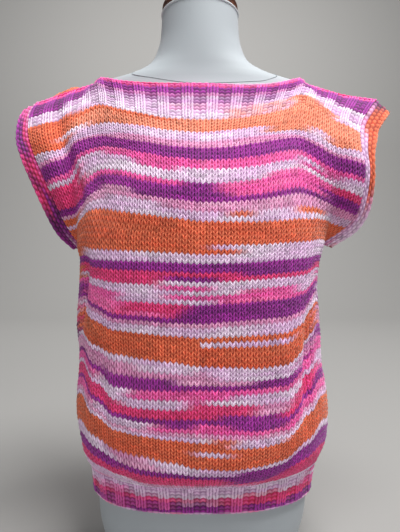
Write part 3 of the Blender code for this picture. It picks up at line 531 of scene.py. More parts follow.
def lengths_along(line):
    """How far along a line of points each of them lies."""
    return np.concatenate(([0.0], np.cumsum(np.linalg.norm(np.diff(line, axis=0), axis=1))))


def spaced(places, along, line):
    """The points at the given lengths along a line."""
    return np.column_stack([np.interp(places, along, values) for values in line.T])


def half_row(face, side, row):
    """Half a row, from the centre to the edge, as evenly spaced lattice points."""
    y, z = face + "_y", face + "_z"
    towards_back = 1 if face == "front" else -1
    centre = read_table(CENTRE, CENTRE_COLUMNS, row)
    crown = read_table(CROWN, CROWN_COLUMNS, row)
    seam = tuple(line + SEAM_COLUMNS for line in SIDE_SEAMS[side])
    fold = read_table(SIDE_FOLDS[side] + seam, SIDE_COLUMNS, row)
    middle = np.array([0.0, centre[y]])
    neck = np.array([crown["x"], crown[y]])
    armhole = np.array([fold["x"], fold[y]])
    first = np.linalg.norm(neck - middle)
    second = np.linalg.norm(armhole - neck)
    part = np.linspace(0, 1, LINE_STEPS + 1)[:, None]
    plan = np.vstack((
        cubic(part, middle, neck, heading(0, towards_back) * first,
              heading(crown["turn_in"], towards_back) * first)[:-1],
        cubic(part, neck, armhole, heading(crown["turn_out"], towards_back) * second,
              heading(fold["turn"], towards_back) * second * SIDE_PULL)))
    heights_at = [LINE_STEPS, 2 * LINE_STEPS]
    heights = [crown[z], fold["z"]]
    if row < ARMHOLE_ROW:
        edge = read_table(EDGES[side], EDGE_COLUMNS, row)
        rim = np.array([edge["x"], edge[y]])
        part = np.linspace(0, 1, SLEEVE_STEPS + 1)[1:, None]
        swell = np.array([[0.0, -towards_back * edge["swell"]]]) * 4 * part * (1 - part)
        plan = np.vstack((plan, armhole + (rim - armhole) * part + swell))
        heights_at.append(2 * LINE_STEPS + SLEEVE_STEPS)
        heights.append(edge["z"])
    along = lengths_along(plan)
    to_crown = along[:LINE_STEPS + 1] / along[LINE_STEPS]
    height = np.concatenate((centre[z] + (crown[z] - centre[z]) * to_crown ** crown["rise"],
                             smooth(along[heights_at], heights, along[LINE_STEPS + 1:])))
    line = np.column_stack((side * plan[:, 0], plan[:, 1], height))
    along = lengths_along(line)
    evenness = min(row / EVEN_ROW, 1.0)
    neck_at = NECK_STITCH + (HALF_STITCHES * along[LINE_STEPS] / along[-1] - NECK_STITCH) * evenness
    stitches = np.linspace(0, HALF_STITCHES, HALF_STITCHES * COLUMNS_PER_STITCH + 1)
    places = np.interp(stitches, (0, neck_at, HALF_STITCHES), (0, along[LINE_STEPS], along[-1]))
    return spaced(places, along, line)


def soften(points, weights):
    """Weighted mean along the first axis, with both ends held where they are."""
    reach = len(weights) // 2
    before = 2 * points[:1] - points[reach:0:-1]
    after = 2 * points[-1:] - points[-2:-reach - 2:-1]
    padded = np.concatenate((before, points, after))
    total = sum(weight * padded[start:start + len(points)] for start, weight in enumerate(weights))
    return total / sum(weights)


def unit(directions):
    """Directions of length one, along the last axis."""
    return directions / np.linalg.norm(directions, axis=-1, keepdims=True)


def outward_normals(points, flip):
    """Unit normals of a lattice of points, on the side that flip chooses."""
    return unit(np.cross(np.gradient(points, axis=0), np.gradient(points, axis=1)) * flip)


def bump(distance):
    """One at zero distance, falling smoothly to nothing at a distance of one."""
    return np.cos(np.clip(np.abs(distance), 0, 1) * math.pi / 2) ** 2


def lattice_places(points):
    """The row and the stitch of every lattice point, and no height yet."""
    rows, columns = points.shape[:2]
    stitch = np.arange(columns)[None, :] / COLUMNS_PER_STITCH - HALF_STITCHES
    return np.arange(rows)[:, None], stitch, np.zeros((rows, columns))


def fold_heights(points, folds):
    """How far every lattice point is moved along its normal by the folds of a table."""
    row, stitch, heights = lattice_places(points)
    for row_a, stitch_a, row_b, stitch_b, half_width, height in folds:
        ahead = np.array([(row_b - row_a) * ROW_HEIGHT, (stitch_b - stitch_a) * STITCH_WIDTH])
        length = np.linalg.norm(ahead)
        ahead = ahead / length
        down = (row - row_a) * ROW_HEIGHT
        across = (stitch - stitch_a) * STITCH_WIDTH
        along = down * ahead[0] + across * ahead[1]
        beside = across * ahead[0] - down * ahead[1]
        reach = half_width * MM
        ends = bump((along - length / 2) / (length / 2 + reach)) ** FOLD_END
        heights += height * MM * bump(beside / (2 * reach)) * ends
    return heights


def lift_heights(points, lifts):
    """How far every lattice point is raised by the table of lifts."""
    row, stitch, heights = lattice_places(points)
    for middle_row, middle_stitch, rows_round, stitches_round, height in lifts:
        heights += (height * MM * bump((row - middle_row) / rows_round)
                    * bump((stitch - middle_stitch) / stitches_round))
    return heights


def face_flip(face):
    """The sign that turns a lattice's normals to the outside."""
    return 1 if face == "front" else -1


def face_lattice(face):
    """The points of one face of the sweater: a line for each row, from the left edge to the right."""
    points = np.array([np.vstack((half_row(face, -1, row)[::-1], half_row(face, 1, row)[1:]))
                       for row in range(ROWS + 1)])
    softened = soften(points.transpose(1, 0, 2), ROW_SOFTENING).transpose(1, 0, 2)
    softened[:, :, 2] = soften(points[:, :, 2].transpose(), HEIGHT_SOFTENING).transpose()
    share = np.clip(np.arange(ROWS + 1) / FIRM_ROWS, 0, 1)[:, None, None]
    points = soften(points + (softened - points) * share, LIGHT_SOFTENING)
    points[:, :, 2] += lift_heights(points, LIFTS[face])
    return points + outward_normals(points, face_flip(face)) * fold_heights(points, FOLDS[face])[:, :, None]


def average(first, second):
    """Halfway between two points."""
    return (first + second) / 2


def mitre(first, second):
    """One direction for two walls that meet, longer the sharper they turn, which keeps their thickness."""
    mean = average(first, second)
    length = np.maximum(np.linalg.norm(mean, axis=-1, keepdims=True), 1 / MITRE_LIMIT ** 0.5)
    return mean / length ** 2


def joined(faces, seams, rule):
    """Both faces with the same values, found by a rule, along the seams they share."""
    for seam in seams:
        shared = rule(faces["front"][seam], faces["back"][seam])
        for face in FACES:
            faces[face][seam] = shared
    return faces


def soften_both_ways(points):
    """A lattice softened along its rows and along its stitches."""
    for _ in range(PASSES):
        points = soften(points, STITCH_SOFTENING).transpose(1, 0, 2)
        points = soften(points, ROW_SOFTENING).transpose(1, 0, 2)
    return points


def wall_directions(points, seams):
    """The directions out through the wall of both faces, made alike along the seams they share."""
    through = {face: outward_normals(soften_both_ways(points[face]), face_flip(face)) for face in FACES}
    return joined(through, seams, mitre)


def form_level(places):
    """How far out points lie on the form's scale, where one is on its surface."""
    size = read_table(FORM, FORM_COLUMNS, places[..., 2])
    across = np.abs(places[..., 0] - size["shift"]) / size["half_width"]
    ahead = np.abs(places[..., 1]) / np.where(places[..., 1] > 0, size["back"], size["front"])
    return (across ** size["power"] + ahead ** size["power"]) ** (1 / size["power"])


def rest_on_form(points, through):
    """The cloth moved out to where its inside just clears the form."""
    for _ in range(PASSES):
        inside = points - through * WALL
        level = form_level(inside)
        slope = np.stack([(form_level(inside + step) - form_level(inside - step)) / (2 * SLOPE_STEP)
                          for step in np.eye(3) * SLOPE_STEP], axis=-1)
        steepness = np.linalg.norm(slope, axis=-1, keepdims=True)
        short = CLOTH_CLEARANCE - (level[..., None] - 1) / steepness
        points = points + np.clip(short, 0, LARGEST_PUSH) * slope / steepness
    return points


def crease_heights(face, points):
    """The smaller creases, and a slow unevenness that fades out at the edges of the face."""
    rows, columns = points.shape[:2]
    row = np.arange(rows)[:, None] / ROWS
    stitch = np.arange(columns)[None, :] / (columns - 1) * 2 - 1
    inside = np.clip((1 - np.abs(stitch)) * FADE_ACROSS, 0, 1)
    for away in (row, 1 - row):
        inside = inside * np.clip(away * FADE_DOWN, 0, 1)
    turn = 0.0 if face == "front" else BACK_TURN
    waves = sum(share * np.sin(row * down + stitch * across + start + way * turn)
                for down, across, start, way, share in WAVES) * UNEVENNESS
    return ((fold_heights(points, CREASES[face]) + waves) * inside)[:, :, None]


def garment():
    """The points of the two faces, and their directions out through the wall, as a pair for each face."""
    points = {face: face_lattice(face) for face in FACES}
    neck = int((HALF_STITCHES - NECK_STITCH) * COLUMNS_PER_STITCH)
    seams = [(0, slice(0, neck + 1)), (0, slice(-neck - 1, None)),
             (slice(ARMHOLE_ROW, None), 0), (slice(ARMHOLE_ROW, None), -1)]
    for _ in range(SETTLINGS):
        points = joined(points, seams, average)
        through = wall_directions(points, seams)
        points = {face: rest_on_form(points[face], through[face]) for face in FACES}
    points = {face: points[face] + through[face] * crease_heights(face, points[face]) for face in FACES}
    through = wall_directions(joined(points, seams, average), seams)
    return {face: (points[face], through[face]) for face in FACES}


def read_cell(table, row, place, below, beside):
    """A table read at a share of the way down and across one of its cells."""
    upper = table[row, place] * (1 - beside) + table[row, place + 1] * beside
    lower = table[row + 1, place] * (1 - beside) + table[row + 1, place + 1] * beside
    return upper * (1 - below) + lower * below


def read(surface, rows, stitches):
    """The surface's points and directions at single places, with rows and stitches of one shape."""
    down = np.clip(rows, 0, surface[0].shape[0] - 1.0001)
    across = np.clip((stitches + HALF_STITCHES) * COLUMNS_PER_STITCH, 0, surface[0].shape[1] - 1.0001)
    row = down.astype(int)
    place = across.astype(int)
    return [read_cell(lattice, row, place, (down - row)[..., None], (across - place)[..., None])
            for lattice in surface]


def smoothly(share):
    """A share from zero to one, with a soft start and end."""
    share = np.clip(share, 0, 1)
    return share * share * (3 - 2 * share)


def drifted(face, rows, stitches):
    """Where a row of the chart lies on the face: the courses aren't quite level."""
    if face == "back":
        sway = sum(share * np.sin(rows * down + stitches * across) for down, across, share in BACK_SWAYS)
        inside = np.clip((HALF_STITCHES - np.abs(stitches)) / SWAY_ROWS, 0, 1)
        for away in (rows - RIB_ROWS, HEM_ROW - rows):
            inside = inside * np.clip(away / SWAY_ROWS, 0, 1)
        return rows + sway * inside
    stations = np.array([line[0] for line in DRIFT], dtype=float)
    table = np.array([line[1] for line in DRIFT], dtype=float)
    low = np.clip(np.searchsorted(stations, rows, side="right") - 1, 0, len(stations) - 2)
    share = (rows - stations[low]) / (stations[low + 1] - stations[low])
    places = np.interp(stitches, DRIFT_STITCHES, np.arange(len(DRIFT_STITCHES)))
    left = np.clip(places.astype(int), 0, len(DRIFT_STITCHES) - 2)
    return rows + read_cell(table, low, left, share, smoothly(places - left))


def course_row(course):
    """The row at which a course starts, at the middle of a face."""
    ends = np.cumsum((0, NECK_COURSES, PANEL_COURSES, HEM_COURSES))
    return np.interp(course, ends, (0, RIB_ROWS, HEM_ROW, ROWS))


def knit_columns(first, last):
    """One for each stitch that is knitted, zero for each that is purled, in two by two ribbing."""
    return ((np.arange(first, last) + 1) % RIB_PERIOD // 2 == 1).astype(float)


def profile(part, heights):
    """The height at a share of the way across, from evenly spaced heights."""
    return np.interp(part, np.linspace(0, 1, len(heights)), heights)


def knitted(face, surface, courses, wales, ribbed=None, scale=1.0, level_ends=(False, False)):
    """A field of stitches: its points, their relief (also the source of the yarn's painted shade), and the
    row and stitch of each in the chart.

    Ribbed holds one for each knitted wale and zero for each purled one. Scale is how many of the surface's
    stitches one wale is wide. Level ends are those, at the top and the bottom, where courses end straight.
    """
    lines = np.arange((courses[1] - courses[0]) * DOWN + 1)
    columns = np.arange((wales[1] - wales[0]) * ACROSS + 1)
    shape = (len(lines), len(columns))
    course = courses[0] + np.broadcast_to(lines[:, None] / DOWN, shape)
    wale = wales[0] + np.broadcast_to(columns[None, :] / ACROSS, shape)
    stitch_part = np.abs(2 * (wale % 1) - 1)
    course_part = course % 1
    from_ends = (lines[:, None] / DOWN, (lines[-1] - lines[:, None]) / DOWN)
    ends = tuple(zip(level_ends, from_ends))
    kinds = np.ones(wales[1] - wales[0]) if ribbed is None else ribbed
    before, after = (kinds[np.clip(place // ACROSS, 0, len(kinds) - 1)] for place in (columns - 1, columns))
    knit = np.broadcast_to((before + after) / 2, shape)
    rib_share = np.full(shape, float(ribbed is not None))
    depth_share = rib_share
    for level, away in ends:
        if not level:
            rib_share = rib_share * smoothly(away / RIB_START)
            depth_share = depth_share * smoothly(away / RIB_DEPTH_START)
    climb = knit * RIB_CLIMB + (1 - knit) * PURL_CLIMB
    climb = LEG_CLIMB + (climb - LEG_CLIMB) * rib_share
    for level, away in ends:
        if level:
            climb = climb * np.clip(away, 0, 1)
    which = (course.astype(int), (wale + 2 * HALF_STITCHES).astype(int))
    dice = np.random.default_rng(SEED + FACES.index(face))
    loose = dice.normal(0, 1, (3, DICE_SIZE, DICE_SIZE)).clip(-2, 2)
    inside = np.sin(course_part * math.pi)
    slip = loose[0][which] * EVEN_YARN * inside
    sideways = loose[1][which] * EVEN_YARN * inside * (1 - stitch_part)
    within = (stitch_part > ON_THE_LINE) & (stitch_part < 1 - ON_THE_LINE)
    slant = np.sign(wale % 1 - 0.5) * np.sin(course_part * 2 * math.pi) * within
    sideways = sideways + slant * LEG_LEAN * (1 - rib_share * (1 - 0.5 * knit))
    stitches = (wale + sideways) * scale
    rows = drifted(face, course_row(course + slip - climb * (stitch_part - 0.5)), stitches)
    leg, rib, purl = (profile(stitch_part, across) * profile(course_part, down) for across, down in
                      ((LEG_PROFILE, LEG_COURSE), (RIB_PROFILE, RIB_COURSE), (PURL_PROFILE, PURL_COURSE)))
    relief = leg + (rib * knit + purl * (1 - knit) - leg) * rib_share
    swell = 1 + loose[2][which] * EVEN_SWELL
    height = (relief * swell - YARN_SINK) * YARN_RELIEF * (1 - rib_share * (1 - RIB_RELIEF_SHARE))
    height = height + RIB_DEPTH * (knit - RIB_MIDDLE) * depth_share
    # Painted shade: the purled columns of the ribs are darkened through their relief value.
    relief = relief * (1 - PURL_PAINTED_SHADE * (1 - knit) * rib_share)
    for level, away in ends:
        if level:
            closing = smoothly(away / CLOSING_COURSES)
            height = height * closing - YARN_SINK * YARN_RELIEF * RIB_RELIEF_SHARE * (1 - closing)
    place, out = read(surface[face], rows, stitches)
    chart = (course_row(np.arange(*courses) + 0.5)[:, None], (np.arange(*wales) + 0.5)[None, :] * scale)
    return place + unit(out) * height[..., None], relief, chart


def chart_numbers(table, places):
    """Numbers into the yarns, from a table of where each colour starts."""
    numbers = np.array([YARN_NAMES.index(name) for _, name in table])
    return numbers[np.clip(np.searchsorted([start for start, _ in table], places, side="right") - 1, 0, None)]


def streaked(found, streaks, rows, stitches, jog=0.0, among=True):
    """The yarn numbers with a table of streaks laid over them."""
    for name, places in streaks.items():
        for top, bottom, left, right in places:
            start = left + jog * (left > -HALF_STITCHES)
            end = right + jog * (right < HALF_STITCHES)
            covered = (rows >= top) & (rows < bottom) & (stitches >= start) & (stitches < end) & among
            found = np.where(covered, YARN_NAMES.index(name), found)
    return found


def yarn_numbers(face, rows, stitches, ribbed=None):
    """The chart's yarn number at every place. Ribbed is one for a knitted column."""
    jog = np.sin(rows * JOG_PACE) * STREAK_JOG
    found = streaked(chart_numbers(STRIPES[face], rows), STREAKS[face], rows, stitches, jog)
    if ribbed is not None and face == "front":
        for kind, streaks in RIB_STREAKS.items():
            found = streaked(found, streaks, rows, stitches, among=ribbed == kind)
    return found


def linear(code):
    """A colour from its six digits, as the renderer wants it."""
    parts = np.array([int(code[place:place + 2], 16) / 255 for place in (0, 2, 4)])
    return np.where(parts <= 0.04045, parts / 12.92, ((parts + 0.055) / 1.055) ** 2.4)


def yarn_colours(found, seed):
    """Hand-dyed colours for an array of yarn numbers, a line for each course.

    A colour fades into the next one along the yarn, wanders towards its second strength and back, and every
    stitch is a little lighter or darker than the next.
    """
    dice = np.random.default_rng(seed)
    palette, companion = (np.array([linear(yarn[which]) for yarn in YARN.values()]) for which in (0, 1))
    reach = np.array([yarn[2] for yarn in YARN.values()])
    lines, stitches = found.shape
    slow = dice.normal(0, 1, (lines, stitches + 2 * WANDER_STITCHES))
    window = np.hanning(WANDER_STITCHES + 1)
    window = window / np.sqrt((window ** 2).sum())
    slow = np.array([np.convolve(line, window, "same")[WANDER_STITCHES:-WANDER_STITCHES] for line in slow])
    quick = dice.normal(0, QUICK_WANDER, found.shape)
    share = (smoothly(slow * SLOW_WANDER + USUAL_WANDER + quick) * reach[found])[..., None]
    colours = palette[found] * (1 - share) + companion[found] * share
    half = len(FADE) // 2
    padded = np.pad(colours, ((0, 0), (half, half), (0, 0)), "edge")
    colours = sum(weight * padded[:, start:start + stitches] for start, weight in enumerate(FADE)) / sum(FADE)
    return colours * dice.normal(1, YARN_SHADE, found.shape).clip(*YARN_SHADE_LIMITS)[..., None]


def put_in_scene(name, data, material):
    """A piece made of a mesh or a curve, put into the scene."""
    data.materials.append(material)
    piece = bpy.data.objects.new(name, data)
    bpy.context.scene.collection.objects.link(piece)
    return piece


def grid_object(name, points, material, face_colours=None, relief=None, flip=False, closed=False):
    """A mesh from a lattice of points, with a colour for each face and a relief for each point, which the
    yarn material turns into painted shade.
    """
    lines, columns = points.shape[:2]
    index = np.arange(lines * columns).reshape(lines, columns)
    after = np.roll(index, -1, axis=0) if closed else index[1:]
    before = index if closed else index[:-1]
    quads = np.stack((before[:, :-1], after[:, :-1], after[:, 1:], before[:, 1:]), axis=-1).reshape(-1, 4)
    if flip:
        quads = quads[:, ::-1]
    mesh = bpy.data.meshes.new(name)
    mesh.vertices.add(lines * columns)
    mesh.vertices.foreach_set("co", points.reshape(-1).astype(np.float32))
    mesh.loops.add(quads.size)
    mesh.loops.foreach_set("vertex_index", quads.reshape(-1).astype(np.int32))
    mesh.polygons.add(len(quads))
    mesh.polygons.foreach_set("loop_start", np.arange(0, quads.size, 4, dtype=np.int32))
    mesh.update(calc_edges=True)
    mesh.shade_smooth()
    if face_colours is not None:
        colours = np.ones((len(quads), 4, 4), dtype=np.float32)
        colours[:, :, :3] = face_colours.reshape(-1, 1, 3)
        layer = mesh.color_attributes.new("yarn", "FLOAT_COLOR", "CORNER")
        layer.data.foreach_set("color", colours.reshape(-1))
    if relief is not None:
        layer = mesh.attributes.new("relief", "FLOAT", "POINT")
        layer.data.foreach_set("value", relief.reshape(-1).astype(np.float32))
    strand = np.stack((quads % columns / ACROSS, quads // columns / DOWN), axis=-1).astype(np.float32)
    mesh.uv_layers.new(name="strand").data.foreach_set("uv", strand.reshape(-1))
    return put_in_scene(name, mesh, material)


def knit_piece(name, node, face, surface, material, flat, lips, **field):
    """One sheet of stitches on a face, in place of a node of the part."""
    points, relief, chart = knitted(face, surface, **field)
    colours = yarn_colours(yarn_numbers(face, *chart, field.get("ribbed")), SEED)
    colours = colours.repeat(DOWN, axis=0).repeat(ACROSS, axis=1)
    piece = grid_object(name, points, material, colours, relief, flip=face == "back")
    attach(piece, "root")
    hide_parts(node)


def build_faces(surface, materials):
    """The panels, the ribs and the plain insides of both faces."""
    seam = NECK_COURSES + PANEL_COURSES
    half_hem = HEM_RIB_STITCHES // 2
    yarn = materials["yarn"]
    for face in FACES:
        inside = inside_piece(face, surface, materials["inside"])
        for side, wales in (("left", (-HALF_STITCHES, 0)), ("right", (0, HALF_STITCHES))):
            knit_piece(f"{face}_panel_{side}", face + "_panel", face, surface, yarn,
                       (HALF_STITCHES * STITCH_WIDTH, (HEM_ROW - RIB_ROWS) * ROW_HEIGHT),
                       (inside,) if side == "left" else (),
                       courses=(NECK_COURSES, seam), wales=wales, level_ends=(False, True))
        width = 2 * HALF_STITCHES * STITCH_WIDTH
        knit_piece(face + "_neck_knit", face + "_neck_rib", face, surface, yarn,
                   (width, RIB_ROWS * ROW_HEIGHT), neck_lips(face, surface, yarn),
                   courses=(0, NECK_COURSES), wales=(-HALF_STITCHES, HALF_STITCHES),
                   ribbed=knit_columns(-HALF_STITCHES, HALF_STITCHES), level_ends=(True, False))
        knit_piece(face + "_hem_knit", face + "_hem_rib", face, surface, yarn,
                   (width, (ROWS - HEM_ROW) * ROW_HEIGHT), hem_lips(face, surface, yarn),
                   courses=(seam, seam + HEM_COURSES), wales=(-half_hem, half_hem),
                   ribbed=knit_columns(-half_hem, half_hem), scale=HALF_STITCHES / half_hem,
                   level_ends=(True, True))


def inside_piece(face, surface, material):
    """The plain inside of a face, one quad to a stitch."""
    courses = NECK_COURSES + PANEL_COURSES + HEM_COURSES
    course, stitches = np.meshgrid(np.arange(courses + 1), np.arange(-HALF_STITCHES, HALF_STITCHES + 1),
                                   indexing="ij")
    points, out = read(surface[face], drifted(face, course_row(course), stitches), stitches)
    found = yarn_numbers(face, course_row(course[:-1, :-1] + 0.5), stitches[:-1, :-1] + 0.5)
    piece = grid_object(face + "_inside", points - out * INSIDE_DEPTH, material, yarn_colours(found, SEED),
                        flip=face == "front")
    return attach(piece, "root")


def lip(name, path, out, radius, colours, material, closed=False):
    """A rolled edge along a path of points, one swelling to each stitch."""
    ahead = unit(np.gradient(path, axis=0))
    out = unit(out)
    up = unit(np.cross(ahead, out))
    steps = np.arange(len(path)) / LIP_STEPS * math.pi
    swell = np.abs(np.sin(steps))
    size = (radius * (LIP_SWELL[0] + LIP_SWELL[1] * swell))[:, None]
    lean = (np.sin(2 * steps) * LIP_LEAN * radius)[:, None]
    rings = []
    for step in range(LIP_SIDES + 1):
        angle = 2 * math.pi * step / LIP_SIDES
        reach = (out * math.cos(angle) + up * math.sin(angle)) * size
        rings.append(path + reach + ahead * lean * math.cos(angle))
    # Painted shade: the relief value, low between the swellings, darkens the yarn there.
    relief = LIP_PAINTED_SHADE[0] + LIP_PAINTED_SHADE[1] * np.repeat(swell, LIP_SIDES + 1)
    colours = np.repeat(colours[:, None], LIP_SIDES, axis=1)
    piece = grid_object(name, np.stack(rings, axis=1), material, colours, relief, closed=closed)
    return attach(piece, "root")


def edge_lip(name, face, surface, row, ends, depth, radius, yarns, seed, material, wale=1.0):
    """A rolled edge along a row of a face, each yarn in turn for a stretch of its stitches."""
    count = int(round((ends[1] - ends[0]) / wale * LIP_STEPS))
    stitches = np.linspace(*ends, count + 1)
    path, out = read(surface[face], np.full(count + 1, float(row)), stitches)
    swellings = math.ceil(count / LIP_STEPS)
    found = np.array([[YARN_NAMES.index(yarns[int(place / swellings * len(yarns))])
                       for place in range(swellings)]])
    colours = yarn_colours(found, seed)[0].repeat(LIP_STEPS, axis=0)[:count]
    return lip(name, path - out * depth, out, radius, colours, material)


def neck_lips(face, surface, yarn):
    """The cast-off edge at the neck, and on the front the ridge where the shoulders are joined."""
    lips = [edge_lip(face + "_neck_edge", face, surface, 0, (-NECK_STITCH, NECK_STITCH), LIP_DEPTH,
                     LIP_RADIUS, NECK_YARNS[face], SEED, yarn)]
    if face == "front":
        for side, ends in (("left", (-HALF_STITCHES, -NECK_STITCH)), ("right", (NECK_STITCH, HALF_STITCHES))):
            lips.append(edge_lip(side + "_shoulder_seam", face, surface, 0, ends, 0.0, SHOULDER_LIP,
                                 SHOULDER_YARNS, SEED + 1, yarn))
    return tuple(lips)


def hem_lips(face, surface, yarn):
    """The cast-on edge."""
    return (edge_lip(face + "_hem_edge", face, surface, ROWS, (-HALF_STITCHES, HALF_STITCHES), HEM_LIP_DEPTH,
                     HEM_LIP_RADIUS, HEM_YARNS, SEED + 2, yarn, wale=2 * HALF_STITCHES / HEM_RIB_STITCHES),)


def band_ring(side, surface, count):
    """The armhole's edge and the band's reach at evenly spaced places, down the front and up the back."""
    rows = np.linspace(0, ARMHOLE_ROW, ARMHOLE_ROW * 2 + 1)
    size = read_table(EDGES[side], EDGE_COLUMNS, rows)
    edges = [read(surface[face], rows, np.full(len(rows), side * float(HALF_STITCHES)))[0] for face in FACES]
    reaches = [np.column_stack((side * size["band_out"], inward * size["band_in"], -size["band_down"]))
               for inward in (1, -1)]
    line, reach = (np.concatenate((front, back[-2::-1])) for front, back in (edges, reaches))
    along = lengths_along(line)
    places = np.linspace(0, along[-1], count, endpoint=False)
    return spaced(places, along, line), spaced(places, along, reach)


def build_band(name, side, surface, materials):
    """The band round one armhole: ridges that run round it, its inside and its cast-off edge."""
    count = BAND_STITCHES * BAND_ACROSS
    starts, reaches = band_ring(side, surface, count)
    steps = np.linspace(0, 1, BAND_COURSES * DOWN + 1)
    base = starts[:, None] + reaches[:, None] * steps[None, :, None]
    out = outward_normals(np.concatenate((base[-1:], base, base[:1])), side)[1:-1]
    place = np.arange(count)[:, None] / BAND_ACROSS
    course = steps[None, :] * BAND_COURSES
    beads = BEADS[0] + BEADS[1] * np.cos((place + np.floor(course) % 2 / 2) * 2 * math.pi)
    # The relief raises the beads and also paints shade between them in the yarn material.
    relief = profile(course % 1, PURL_COURSE) * beads
    points = base + out * ((relief - BAND_SINK) * BAND_RELIEF)[..., None]
    share = (np.arange(BAND_STITCHES) + 0.5) / BAND_STITCHES
    found = np.array([chart_numbers(BAND_COLOURS[name][layer], (share + moved) % 1)
                      for layer, moved in BAND_LAYERS])
    dyed = yarn_colours(found, SEED + side).transpose(1, 0, 2)
    colours = dyed.repeat(BAND_ACROSS, axis=0).repeat(DOWN, axis=1)
    band = grid_object(name + "_band_knit", points, materials["yarn"], colours, relief, flip=side < 0,
                       closed=True)
    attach(band, "root")
    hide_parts(name + "_sleeve_band")
    coarse = base[::BAND_ACROSS, ::DOWN] - out[::BAND_ACROSS, ::DOWN] * INSIDE_DEPTH
    inside = grid_object(name + "_band_inside", coarse, materials["inside"], dyed, flip=side > 0, closed=True)
    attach(inside, "root")
    edge = lip(name + "_cuff_edge", base[:, -1] - out[:, -1] * LIP_DEPTH, out[:, -1], LIP_RADIUS,
               dyed[:, -1].repeat(BAND_ACROSS, axis=0), materials["yarn"], closed=True)


def round_angles(count):
    """Evenly spaced angles all the way round."""
    return np.linspace(0, 2 * math.pi, count, endpoint=False)


def oval(z, angles, share=1.0, at=None):
    """Points round the form's oval of one height, drawn in to a share of its size and put at another."""
    size = read_table(FORM, FORM_COLUMNS, z)
    across = np.cos(angles)
    ahead = np.sin(angles)
    depth = np.where(ahead > 0, size["back"], size["front"]) * share
    x = np.sign(across) * np.abs(across) ** (2 / size["power"]) * size["half_width"] * share + size["shift"]
    y = np.sign(ahead) * np.abs(ahead) ** (2 / size["power"]) * depth
    return np.column_stack((x, y, np.broadcast_to(z if at is None else at, x.shape)))


def build_form(materials):
    """The smooth torso, its neck seam, its cord and its cap."""
    top = FORM[-1][0] * MM
    rings = [oval(z, round_angles(FORM_SIDES)) for z in np.linspace(0, top, FORM_LEVELS)]
    shrunk = rings[0] * UNDERSIDE_CENTRE
    form = grid_object("dress_form_cloth", np.stack([shrunk] + rings, axis=1), materials["form"], flip=True,
                       closed=True)
    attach(form, "root")
    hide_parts("dress_form")
    build_cords(materials)
    build_cap(top, materials["wood"])


def build_cords(materials):
    """The corded seam round the foot of the neck, and the cord under the cap."""
    turn = round_angles(CORD_SIDES)
    for name, heights, radius, paint in FORM_CORDS:
        path = oval(smooth(np.linspace(0, 2 * math.pi, len(heights)), heights, turn), turn)
        curve = bpy.data.curves.new(name, "CURVE")
        curve.dimensions = "3D"
        curve.bevel_depth = radius
        curve.bevel_resolution = CORD_ROUNDNESS
        spline = curve.splines.new("POLY")
        spline.points.add(len(path) - 1)
        spline.points.foreach_set("co", np.column_stack((path, np.ones(len(path)))).reshape(-1))
        spline.use_cyclic_u = True
        cord = put_in_scene(name, curve, materials[paint])
        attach(cord, "root")


def build_cap(top, material):
    """The turned cap over the form's neck."""
    outline = [(1.0, 0.0), (1.0, CAP_EDGE)]
    for step in range(CAP_STEPS + 1):
        angle = math.pi / 2 * step / CAP_STEPS
        outline.append((1 - CAP_ROUND[0] * (1 - math.cos(angle)), CAP_EDGE + CAP_ROUND[1] * math.sin(angle)))
    rings = [oval(top, round_angles(CAP_SIDES), share, top + SEAM_GAP + height * CAP_HEIGHT)
             for share, height in (*outline, *CAP_CROWN)]
    cap = grid_object("turned_cap", np.stack(rings, axis=1), material, flip=True, closed=True)
    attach(cap, "root")
    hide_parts("neck_cap")


def fill(tree, node, inputs):
    """Each named or numbered input of a node gets its value, or the output it is linked to."""
    for name, value in inputs.items():
        if isinstance(value, bpy.types.NodeSocket):
            tree.links.new(value, node.inputs[name])
        else:
            node.inputs[name].default_value = value


def add_node(tree, kind, output, inputs, **properties):
    """The named output of a new shader node with these inputs and properties."""
    node = tree.nodes.new("ShaderNode" + kind)
    for name, value in properties.items():
        setattr(node, name, value)
    fill(tree, node, inputs)
    return node.outputs[output]


def scaled(tree, vector, scale):
    """A colour or vector times a number."""
    return add_node(tree, "VectorMath", "Vector", {0: vector, "Scale": scale}, operation="SCALE")


def noise(tree, kind, places, scale, detail):
    """Fine noise in a kind of coordinates, drawn out by three scales or with one of its own."""
    place = add_node(tree, "TexCoord", kind, {})
    if places:
        place = add_node(tree, "Mapping", "Vector", {"Vector": place, "Scale": places})
    return add_node(tree, "TexNoise", "Fac", {"Vector": place, "Scale": scale, "Detail": detail})


def new_material(name, roughness):
    """A material, its node tree and its shader."""
    material = bpy.data.materials.new(name)
    material.use_nodes = True
    shader = material.node_tree.nodes["Principled BSDF"]
    shader.inputs["Roughness"].default_value = roughness
    return material, material.node_tree, shader


def finish_material(tree, shader, inputs, height, strength, distance):
    """The shader's inputs, and the small relief of its surface."""
    relief = {"Height": height, "Strength": strength, "Distance": distance}
    fill(tree, shader, {**inputs, "Normal": add_node(tree, "Bump", "Normal", relief)})


